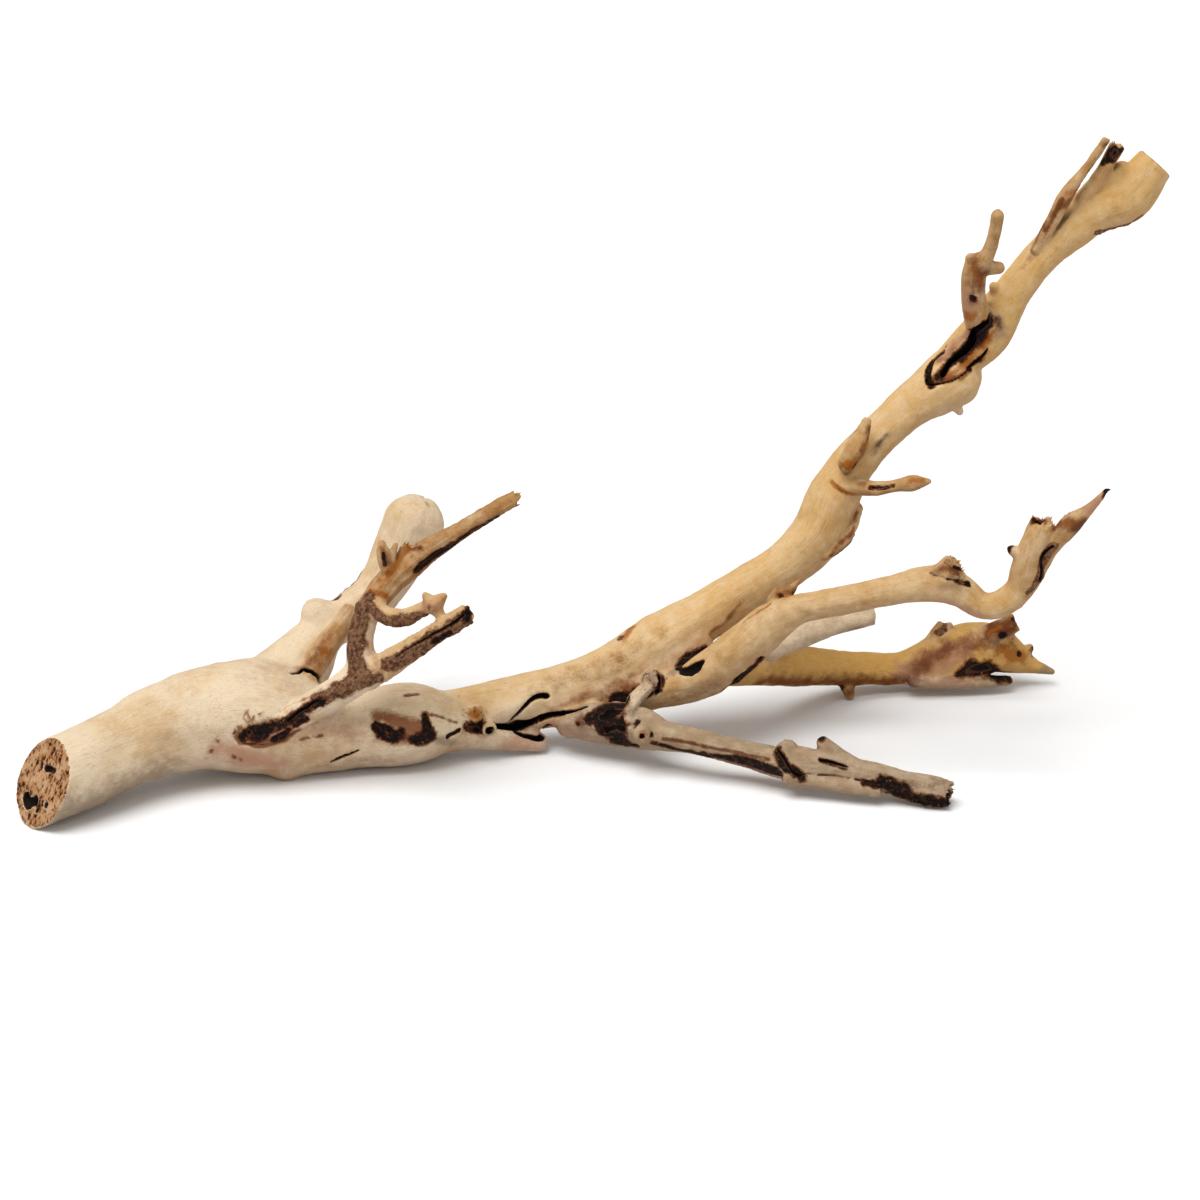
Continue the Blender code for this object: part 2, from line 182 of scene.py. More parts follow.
LIMBS: dict[str, Limb] = {
    "stem": Limb((
        (-306, -8, 15.5, 20), (-292, 2, 19.5, 20), (-271, 19, 22.5, 20.5), (-248, 40, 26, 21),
        (-227, 54, 31, 23.5), (-207, 64, 32, 27), (-182, 69, 31, 30), (-158, 71, 24.5, 24.5),
        (-132, 75, 20.5, 20.5), (-104, 80, 22, 22.5), (-88, 84, 20, 17), (-72, 88, 16, 12),
        (-54, 90, 10, 8), (-33, 92, 6, 5),
    ), ridges=0.035, oval=0.02, saw=STEM_SAW),
    "stem_heel": Limb(((-165, 66, 13, 12), (-165, 60, 4.5, 5)), blend=8.0),
    "split_ridge": Limb((
        (-86, 88, 20, 12), (-67, 91, 19, 9), (-51, 94, 25, 8), (-33, 99, 30, 7), (-13, 104, 31, 7),
    ), blend=3.0),
    "split_web": Limb(((-72, 92, 18, 9), (-45, 100, 18, 8), (-16, 98, 22, 8)), tone=Tone.BROWN),
    "rear_stub": Limb((
        (-178, 88, 32, 23), (-162, 102, 46, 18.5), (-149, 114, 60, 12.5), (-134, 123, 68, 12),
        (-121, 131, 76, 12.5), (-110, 139, 93, 14), (-101, 145, 111, 16),
    ), blend=8.0, ridges=0.04),
    "rear_knob": Limb(((-144, 112, 65, 10), (-151, 114, 71, 9)), blend=5.0),
    "rear_ridge": Limb((
        (-155, 82, 48, 6.5), (-149, 90, 56, 6.5), (-142, 99, 64, 5.5), (-132, 111, 76, 4),
    ), blend=2.0, ridges=0.1, torn=1.0, tone=Tone.RUSSET),
    "mast": Limb((
        (-91, 92, 21, 11), (-64, 97, 26, 10.5), (-22, 105, 31.5, 12), (5, 111, 40, 13),
        (30, 119, 52.5, 15.5), (54, 127, 63, 14.5), (81, 134, 78, 13.5), (103, 138, 92, 13.5),
        (117, 141, 107, 14.5), (124, 144, 124, 14.5), (134, 147, 142, 12), (148, 151, 158, 11),
        (167, 155, 175, 11.5), (188, 158, 189, 15.5),
    ), ridges=0.05, tone=Tone.STRAW),
    "fork_web": Limb((
        (-13, 104, 28, 10), (15, 106, 34, 11), (40, 109, 43, 9.5), (53, 113, 51, 8),
    ), tone=Tone.BROWN),
    "mast_top": Limb((
        (187, 159, 196, 10), (205, 160, 213, 12.5), (219, 162, 236, 9.5), (234, 164, 256, 9),
        (249, 166, 270, 10.5), (262, 168, 280, 12), (277, 170, 286, 13), (291, 171, 303, 10),
        (302, 172, 316, 10),
    ), blend=2.0, tone=Tone.YELLOW, saw=MAST_SAW),
    "mast_top_nub": Limb(((210, 160, 237, 3.6), (208, 158, 240, 2.4)), blend=2.0, tone=Tone.YELLOW),
    "collar_corner": Limb((
        (258, 165, 290, 5), (266, 166, 296, 5), (273, 168, 300, 5),
    ), blend=2.0, tone=Tone.YELLOW),
    "collar_nub": Limb(((190, 157, 176, 4), (193, 157, 171, 2)), blend=2.0),
    "fork_outer_prong": Limb((
        (229, 158, 260, 2.6), (235, 158, 272, 3.4), (240.5, 158, 283, 3.6), (246, 158, 293, 3.4),
        (252, 158, 302, 2.9), (257.5, 158, 311, 2.5), (263, 158, 320, 2.0),
    ), blend=1.5, torn=1.5, tone=Tone.WARM, ridges=0.1),
    "fork_inner_prong": Limb((
        (253, 164, 285, 5), (259, 163, 294, 4.6), (264, 162.5, 304, 4.0), (269.5, 162, 316, 4.2),
    ), blend=1.2, torn=3.0, ridges=0.1, tone=Tone.WARM),
    "antler": Limb((
        (200, 152, 223, 8), (196, 148, 237, 6.5), (196, 144, 254, 6), (201, 142, 261, 4),
        (204, 140, 272, 3.4), (205, 138, 283, 3.3),
    ), blend=3.0, tone=Tone.WARM, ridges=0.1),
    "antler_peg": Limb(((201, 143, 254, 3.6), (207.5, 143, 254, 3)), blend=2.0, ridges=0.2, tone=Tone.WARM),
    "antler_shoulder": Limb(((196, 145, 254, 5), (193, 143, 259, 3.2)), blend=2.0, tone=Tone.WARM),
    "side_twig": Limb((
        (134, 138, 136, 5), (140, 131, 137, 4.5), (147, 127, 138, 4), (157, 123, 141, 3.4),
        (165, 119, 144, 4.2), (173, 115.5, 146, 1.6),
    ), blend=3.0, tone=Tone.WARM),
    "mast_flap": Limb((
        (131, 132, 150, 4.6), (136, 133, 160, 5), (140, 135, 168, 3.4), (142, 137, 174, 2),
    ), blend=2.0, torn=0.8, ridges=0.22, flutes=0.06, tone=Tone.WARM),
    "mast_hem": Limb((
        (139, 140, 122, 2.6), (136, 137, 113, 3), (130, 132, 105, 3), (121, 129, 99, 2.2),
    ), blend=1.0, ridges=0.3, tone=Tone.WARM),
    "middle_limb": Limb((
        (-32, 98, 21, 7), (0, 100, 25, 8.5), (29, 100, 32, 9.5), (48, 97, 38.5, 10), (63, 91, 50, 11.5),
        (76, 86, 64, 12), (92, 82, 80, 10.5), (104, 79, 88, 8), (120, 78, 92, 7.5), (151, 78, 99, 8),
        (174, 78, 103, 10.5), (187, 78, 99, 9), (198, 76, 92, 7.5), (208, 75, 93, 7.5),
        (217, 75, 101, 7.5), (220, 74, 112, 8), (223, 73, 124, 8), (227, 72, 135, 8), (229, 72, 141, 8),
    ), blend=2.5, torn=4.0, tone=Tone.TAN),
    "middle_nub": Limb((
        (94, 90, 88, 6), (97, 89, 95, 5),
    ), blend=1.2, torn=1.5, ridges=0.15, tone=Tone.BROWN),
    "middle_thorn": Limb(((99, 89, 94, 3.2), (104, 89, 100, 0.9)), blend=1.0, tone=Tone.WARM),
    "middle_knob": Limb((
        (178, 74, 108, 7.5), (184, 71, 115.5, 7.5),
    ), blend=2.0, torn=2.0, ridges=0.14, tone=Tone.WARM),
    "middle_side_nub": Limb(((218, 73, 120, 4), (212, 73, 124, 2.4)), blend=1.5),
    "middle_tip": Limb((
        (216, 74, 95, 4.5), (223, 71, 106, 4), (229, 69, 118, 3.5), (233, 68, 128, 4),
        (240, 67, 139, 6), (249, 66, 148, 3.3), (258, 64, 160, 1.6),
    ), blend=1.0, tone=Tone.WARM, ridges=0.12),
    "low_limb": Limb((
        (60, 98, 48, 9), (73, 112, 42, 11), (90, 130, 34, 11), (111, 150, 25, 11.5),
        (140, 170, 15.5, 10), (169, 176, 12.5, 9.5), (189, 176, 17, 13.5), (206, 178, 22, 15.5),
        (220, 179, 24, 13), (231, 180, 19, 9.5), (242, 182, 13, 5), (256, 182, 8, 1.5),
    ), blend=2.5, tone=Tone.OCHRE),
    "low_spike_a": Limb((
        (187, 178, 23, 6.5), (190, 178, 33, 4), (190.5, 178, 39, 1.8),
    ), blend=1.5, tone=Tone.RUSSET),
    "low_spike_b": Limb(((194, 178, 27, 5.5), (196, 178, 38, 2)), blend=1.5, tone=Tone.RUSSET),
    "low_nub": Limb(((238, 180, 16, 4), (242, 180, 23, 2.6)), blend=1.5, tone=Tone.WARM),
    "low_jag": Limb(((225, 177, 30, 5.5), (231, 175, 36, 3)), blend=1.0, torn=1.5, tone=Tone.BROWN),
    "low_lip": Limb((
        (177, 166, 10, 5), (202, 167, 8, 4), (225, 170, 7.5, 3.5), (232, 172, 7, 2.6),
    ), blend=2.0, torn=1.0, tone=Tone.DUSKY),
    "low_finger": Limb((
        (214, 173, 32, 5.5), (224, 169, 39, 5.2), (232, 168, 44, 4.6),
    ), blend=2.0, torn=1.2, ridges=0.14, flutes=0.06, tone=Tone.BROWN),
    "low_foot": Limb(((138, 164, 9, 4.5), (140, 162, 2.5, 2.8)), blend=2.0, tone=Tone.WARM),
    "sliver": Limb((
        (92, 118, 50, 7), (109, 122, 55, 6.2), (129, 126, 61, 5.5), (149, 130, 64, 5),
    ), blend=2.0, torn=1.0, tone=Tone.GREY),
    "front_limb": Limb((
        (-16, 91, 17, 7.5), (3, 84, 21, 10.5), (21, 76, 22, 10.5), (34, 69, 20, 8), (52, 61, 20, 7),
        (76, 54, 16.5, 7), (95, 47, 15, 8.5), (104, 44, 15.5, 9.5), (122, 40, 15, 7.5),
        (140, 36, 12.5, 7.5), (157, 33, 9, 7), (170, 29, 8, 8), (182, 26, 6.5, 6.5),
    ), blend=3.0, torn=4.0, ridges=0.09, flutes=0.05, tone=Tone.DUSKY),
    "front_knuckle": Limb((
        (97, 45, 22, 6.5), (100, 38, 12, 6.5),
    ), blend=1.0, ridges=0.16, flutes=0.06, tone=Tone.DUSKY),
    "front_strand": Limb((
        (103, 38, 11, 5), (119, 34, 9.5, 4.6), (133, 31, 9, 4.4), (145, 28.5, 8, 4),
    ), blend=1.0, torn=1.5, ridges=0.1, tone=Tone.DUSKY),
    "front_nub": Limb(((129, 42, 16, 5), (119, 44, 24, 4.5), (116, 45, 27, 4)), blend=3.0, tone=Tone.DUSKY),
    "junction_stump": Limb((
        (28, 102, 37, 7), (27, 92, 42, 5.4),
    ), blend=1.2, torn=2.5, ridges=0.16, tone=Tone.DUSKY),
    "junction_strand_a": Limb((
        (20, 92, 38, 2.4), (17, 84, 34, 2.2), (14, 74, 31, 2.2),
    ), blend=0.8, tone=Tone.GREY),
    "junction_strand_b": Limb((
        (25, 88, 39, 3.8), (20, 83, 36, 3.8), (16, 75, 32, 3.5), (15, 70, 28, 3),
    ), blend=0.8, ridges=0.2, flutes=0.1, tone=Tone.GREY),
    "junction_nodule": Limb(((22, 70, 22, 6), (22, 64, 24, 5)), blend=2.0, tone=Tone.DUSKY),
    "burl_stump": Limb((
        (-66, 88, 22, 5), (-66, 79, 29, 4.2),
    ), blend=0.8, torn=2.0, ridges=0.2, tone=Tone.WARM),
    "spur": Limb((
        (-183, 47, 29, 8), (-169, 48, 33, 7.5), (-153, 50, 43, 7.5), (-137, 52, 52, 8), (-121, 54, 63, 9),
    ), blend=2.0, ridges=0.1, flutes=0.06),
    "spur_riser": Limb(((-121, 54, 63, 8), (-124, 56, 78, 6.7), (-120, 62, 95, 6)), blend=4.0, ridges=0.1),
    "lance": Limb((
        (-120, 62, 95, 6), (-109, 66, 108, 6.7), (-100, 70, 115, 6.7), (-89, 76, 122, 6),
        (-75, 80, 130, 4.8), (-57, 84, 140, 4.2), (-41, 88, 148, 3.6),
    ), blend=3.0, torn=5.0, ridges=0.1, flutes=0.08, tone=Tone.RUSSET),
    "lance_thorn_a": Limb((
        (-108, 65, 116, 4.2), (-110.5, 64, 124, 3.4), (-112, 65, 132, 1.4),
    ), blend=1.0, ridges=0.2, torn=1.0, tone=Tone.WARM),
    "lance_thorn_wing": Limb(((-108, 66, 121, 2.8), (-104.5, 67, 129, 1.3)), blend=1.5, tone=Tone.WARM),
    "lance_thorn_b": Limb((
        (-101, 71, 119, 5), (-97, 73, 127, 3.6),
    ), blend=1.0, ridges=0.25, torn=2.5, tone=Tone.RUSSET),
    "curl": Limb(((-117, 60, 98, 4.5), (-110, 54, 95, 4.5), (-101, 50, 95, 4), (-92, 46, 101, 3.5),
                  (-85, 42, 105.5, 4)), blend=3.0, ridges=0.1, tone=Tone.TAN),
    "curl_horn_a": Limb(((-85, 43, 105, 4.8), (-88.5, 43, 110.5, 1.8)), blend=1.0, tone=Tone.WARM),
    "curl_horn_b": Limb(((-84, 42, 106, 4.6), (-79, 42, 110.5, 1.9)), blend=1.0, tone=Tone.WARM),
    "curl_horn_c": Limb(((-84, 41, 105, 4.4), (-81, 40, 101, 2.2)), blend=1.0, tone=Tone.WARM),
    "peg": Limb((
        (-113, 50, 67, 7), (-102, 46, 76, 6.5), (-85, 40, 90, 5.5), (-66, 34, 105, 4.7),
    ), blend=3.0, torn=2.0, flutes=0.08, tone=Tone.TAN),
}


@dataclass(frozen=True)
class Split:
    """A crack: its line on the surface as x, y, z and half width, and how deep it goes."""

    line: tuple[Station, ...]
    depth: float


@dataclass(frozen=True)
class Hollow:
    """A socket or hole left where a side shoot rotted out: round places along a line, its mouth first."""

    line: tuple[Station, ...]
    rim: float = 0.0
    rough: float = 0.25


SPLITS: dict[str, Split] = {
    "main": Split(((-61, 82, 20, 1.1), (-51, 87, 17, 1.9), (-44, 91, 16, 3.0), (-38, 92, 17, 2.6),
                   (-29, 91, 21, 2.1), (-20, 89, 24, 1.4), (-7, 85, 30, 0.8)), 10.0),
    "upper": Split((
        (-49, 89, 18, 1.2), (-43, 88, 25, 1.2), (-37, 90, 31, 1.3), (-32, 91, 33, 1.7), (-28, 91, 33, 2.0),
    ), 6.0),
    "lower": Split((
        (-46, 88, 14, 1.3), (-40, 87, 12, 1.7), (-33, 88, 11, 2.1), (-29, 91, 12, 2.6), (-26, 92, 14, 2.0),
    ), 6.0),
    "belly": Split(((-141, 54, 12, 0.9), (-135, 54, 15, 1.2), (-126, 55, 18, 0.6)), 5.0),
    "stub_crevice": Split((
        (-162, 71, 55, 0.8), (-157, 80, 52, 1.0), (-153, 83, 49, 1.1), (-149, 84, 45, 1.0),
    ), 5.0),
    "burl_lap": Split(((-89, 65, 34, 0.5), (-84, 68, 32, 0.6), (-80, 70, 29, 0.6), (-76, 73, 26, 0.4)), 1.4),
    "burl_knot": Split(((-102, 70, 42, 0.6), (-97, 73, 42, 0.7)), 2.0),
    "spur_root": Split((
        (-189, 40, 35, 0.6), (-186, 39, 30, 0.7), (-181, 39, 29, 0.6), (-171, 41, 28, 0.6),
        (-163, 43, 30, 0.6), (-157, 44, 34, 0.5),
    ), 1.8),
    "spur_under": Split((
        (-163, 41, 42, 1.2), (-157, 43, 45, 1.6), (-152, 42, 49, 1.5), (-145, 42, 51, 1.0),
    ), 3.5),
    "peg_groove": Split((
        (-106, 39, 77, 0.7), (-98, 37, 84, 1.0), (-87, 34, 91, 1.1), (-78, 32, 97, 1.1),
        (-71, 30, 103, 1.3), (-66, 33, 107, 1.4),
    ), 2.5),
    "lance_groove": Split((
        (-96, 65, 113, 0.7), (-90, 67, 116, 1.2), (-83, 70, 121, 1.2), (-73, 75, 125, 1.1),
        (-66, 77, 130, 0.9),
    ), 2.5),
    "stump_side": Split(((30, 98, 46, 1.0), (32, 96, 43, 1.5), (32, 92, 39, 1.2)), 5.0),
    "stump_under": Split(((25, 88, 33, 1.5), (31, 91, 36, 1.5)), 5.0),
    "stump_edge": Split(((19, 93, 40, 0.6), (21, 92, 45, 0.6), (26, 93, 48, 0.6), (30, 97, 47, 0.6)), 1.6),
    "low_fork": Split(((67, 88, 38, 2.0), (71, 85, 42, 2.3), (74, 81, 48, 2.1), (79, 79, 53, 1.3),
                       (84, 78, 57, 1.2), (85, 77, 62, 1.0)), 8.0),
    "knuckle": Split(((92, 43, 24, 1.0), (95, 38, 20, 1.5), (98, 35, 17, 1.3), (104, 34, 13, 1.2)), 3.5),
    "front_slit": Split(((114, 37, 22, 1.1), (120, 35, 21, 1.2), (128, 33, 19, 0.7)), 3.5),
    "front_seam": Split((
        (104, 36, 14, 0.6), (119, 34, 14, 0.6), (133, 31, 13, 0.7), (144, 29, 11, 0.9),
    ), 2.0),
    "mast_crease": Split(((124, 134, 139, 0.6), (128, 132, 135, 0.8), (133, 131, 133, 0.6)), 1.3),
    "twig_slit": Split(((144, 125, 139, 1.0), (149, 123, 140, 0.9), (155, 121, 142, 0.6)), 2.0),
    "collar_lip": Split((
        (184, 158, 207, 0.5), (178, 156, 202, 0.8), (174, 150, 195, 1.2), (174, 147, 190, 1.3),
        (180, 144, 191, 0.7), (187, 143, 193, 0.6), (193, 144, 196, 0.6), (199, 147, 200, 0.6),
        (205, 149, 209, 0.5),
    ), 3.5),
    "cleft": Split(((207, 146, 227, 2.3), (199, 145, 220, 2.4), (194, 149, 211, 2.7), (188, 149, 204, 2.2),
                    (184, 148, 200, 1.5), (181, 146, 195, 1.9)), 10.0),
    "collar_slit": Split(((205, 149, 208, 0.6), (200, 148, 202, 0.9), (196, 148, 198, 0.9)), 3.0),
    "prong_crease": Split(((230, 156, 260, 0.4), (236, 155, 274, 0.6), (243, 155, 290, 0.7)), 1.0),
    "knob_line": Split((
        (171, 72, 111, 0.6), (179, 65, 110, 0.6), (185, 66, 108, 0.9), (191, 73, 105, 0.6),
    ), 2.0),
    "tip_crevice": Split((
        (232, 65, 129, 1.2), (227, 66, 123, 1.4), (227, 67, 113, 1.2), (226, 69, 107, 1.4),
        (223, 69, 102, 1.5),
    ), 3.5),
    "back_long": Split((
        (-215, 90, 34, 0.6), (-195, 98, 35, 1.2), (-170, 103, 30, 0.9), (-150, 98, 27, 0.6),
    ), 4.0),
    "back_mast": Split(((12, 124, 45, 0.6), (32, 134, 56, 1.2), (58, 141, 68, 1.0), (80, 147, 82, 0.6)), 4.0),
    "back_collar": Split(((150, 162, 163, 0.6), (168, 166, 178, 1.3), (184, 173, 196, 0.8)), 4.0),
    "back_low": Split(((150, 183, 15, 0.6), (175, 188, 14, 1.2), (200, 193, 21, 0.8)), 4.0),
}

HOLLOWS: dict[str, Hollow] = {
    "stub_notch": Hollow(((-142, 123, 77, 2.2),)),
    "burl_socket": Hollow(((-91, 62, 34, 1.6), (-90, 61, 29, 2.2), (-88, 61, 25, 1.8))),
    "burl_pit_a": Hollow(((-115, 54, 29, 2.0), (-109, 54, 25, 2.6)), rough=0.7),
    "burl_pit_b": Hollow(((-97, 57, 22, 1.8), (-93, 59, 21, 2.0)), rough=0.7),
    "burl_eye": Hollow(((-57, 73, 18.5, 2.6), (-59, 79, 19.5, 2.7), (-60, 84, 19, 2.2)), rim=1.5),
    "burl_foot": Hollow(((-69, 76, 21, 2.0), (-65, 79, 19, 2.2))),
    "nodule_eye": Hollow(((22, 56, 25, 1.7), (22, 61, 24, 1.7)), rim=1.3),
    "junction_gap": Hollow(((18, 66, 27, 1.8), (20, 68, 29, 1.6))),
    "junction_pit_a": Hollow(((1, 76, 28, 2.6), (8, 76, 31, 3.0)), rough=0.9),
    "junction_pit_b": Hollow(((3, 73, 22, 2.4), (10, 69, 23, 3.0)), rough=0.9),
    "junction_pit_c": Hollow(((-1, 75, 21, 1.6),), rough=0.6),
    "fork_eye_a": Hollow(((42, 98, 47, 2.6), (46, 100, 51, 3.8), (50, 102, 53, 4.0), (55, 104, 55, 2.6))),
    "fork_eye_b": Hollow(((44, 93, 47, 2.2), (48, 89, 49, 3.2), (52, 87, 52, 3.0), (54, 86, 56, 1.6))),
    "lance_hole": Hollow(((-108, 60, 115, 1.5),)),
    "thorn_pocket": Hollow(((-110, 60, 119, 1.2), (-111, 60, 126, 1.4))),
    "spur_pocket_a": Hollow(((-181, 39, 35, 2.6), (-175, 39, 35, 2.6)), rough=0.5),
    "spur_pocket_b": Hollow(((-169, 40, 36, 1.8), (-163, 41, 41, 1.8)), rough=0.5),
    "spur_pocket_c": Hollow(((-165, 40, 31, 1.7), (-161, 41, 34, 1.7)), rough=0.5),
    "spur_pocket_d": Hollow(((-156, 42, 39, 1.4), (-152, 43, 42, 1.4)), rough=0.5),
    "peg_mouth": Hollow(((-67, 32, 107, 1.6), (-63, 33, 108, 2.0))),
    "antler_eye": Hollow(((195, 140, 238, 1.7),)),
    "knob_mouth": Hollow(((186, 67, 121, 2.0), (189, 71, 119, 2.6))),
    "knob_lap": Hollow(((178, 62, 110, 3.6), (184, 62, 108, 3.6)), rough=0.4),
    "stub_mouth": Hollow(((226, 72, 143, 3.6), (225, 73, 137, 2.6))),
    "low_cave": Hollow((
        (202, 160, 13, 2.6), (208, 160, 16, 5.0), (215, 162, 15.5, 5.0), (222, 165, 12.5, 3.6),
        (229, 168, 10, 2.0),
    )),
    "finger_foot": Hollow(((224, 163, 38, 1.9),)),
    "foot_hole": Hollow(((134, 160, 7, 1.9),)),
    "prong_mouth": Hollow(((272, 158, 319, 2.2), (267, 158, 311, 2.3), (263, 158, 305, 1.6)), rough=0.1),
    "prong_gap": Hollow(((248, 156, 290, 1.3), (254, 158, 299, 1.8), (259, 159, 307, 1.6))),
    "middle_nub_eye": Hollow(((94, 83, 95, 1.4),)),
    "sawn_rot": Hollow(((-292.5, 12.5, 11.5, 3.2), (-290.5, 9, 9.5, 3.4), (-287.5, 8, 12.5, 2.2)), rough=0.9),
    "sawn_pit_a": Hollow(((-286, 20, 35, 1.8),), rough=0.6),
    "sawn_pit_b": Hollow(((-278, 14, 38, 1.6),), rough=0.6),
    "sawn_pit_c": Hollow(((-281, 12, 28, 2.0), (-277, 8, 29, 2.0)), rough=0.8),
    "sawn_pit_d": Hollow(((-284, 8, 20, 1.6),), rough=0.6),
    "sawn_pit_e": Hollow(((-281, 1, 13, 1.9),), rough=0.6),
    "sawn_pit_f": Hollow(((-286, 4, 8, 1.6),), rough=0.6),
    "back_knot_a": Hollow(((-126, 103, 22, 2.2), (-126, 97, 22, 2.2)), rim=1.2),
    "back_knot_b": Hollow(((66, 147, 67, 2.0), (66, 141, 66, 2.0)), rim=1.2),
    "back_knot_c": Hollow(((-237, 73, 45, 1.6), (-234, 68, 41, 1.6)), rim=0.9),
}


class Mark(Enum):
    """What colours a patch of the wood."""

    BARK = "bark"
    CHAR = "char"
    BROWN = "brown"
    AMBER = "amber"
    GREY = "grey"
    PINK = "pink"


@dataclass(frozen=True)
class MarkPatch:
    """A patch of one mark: its line as x, y, z and reach, and its strength."""

    mark: Mark
    line: tuple[Station, ...]
    strength: float = 1.0
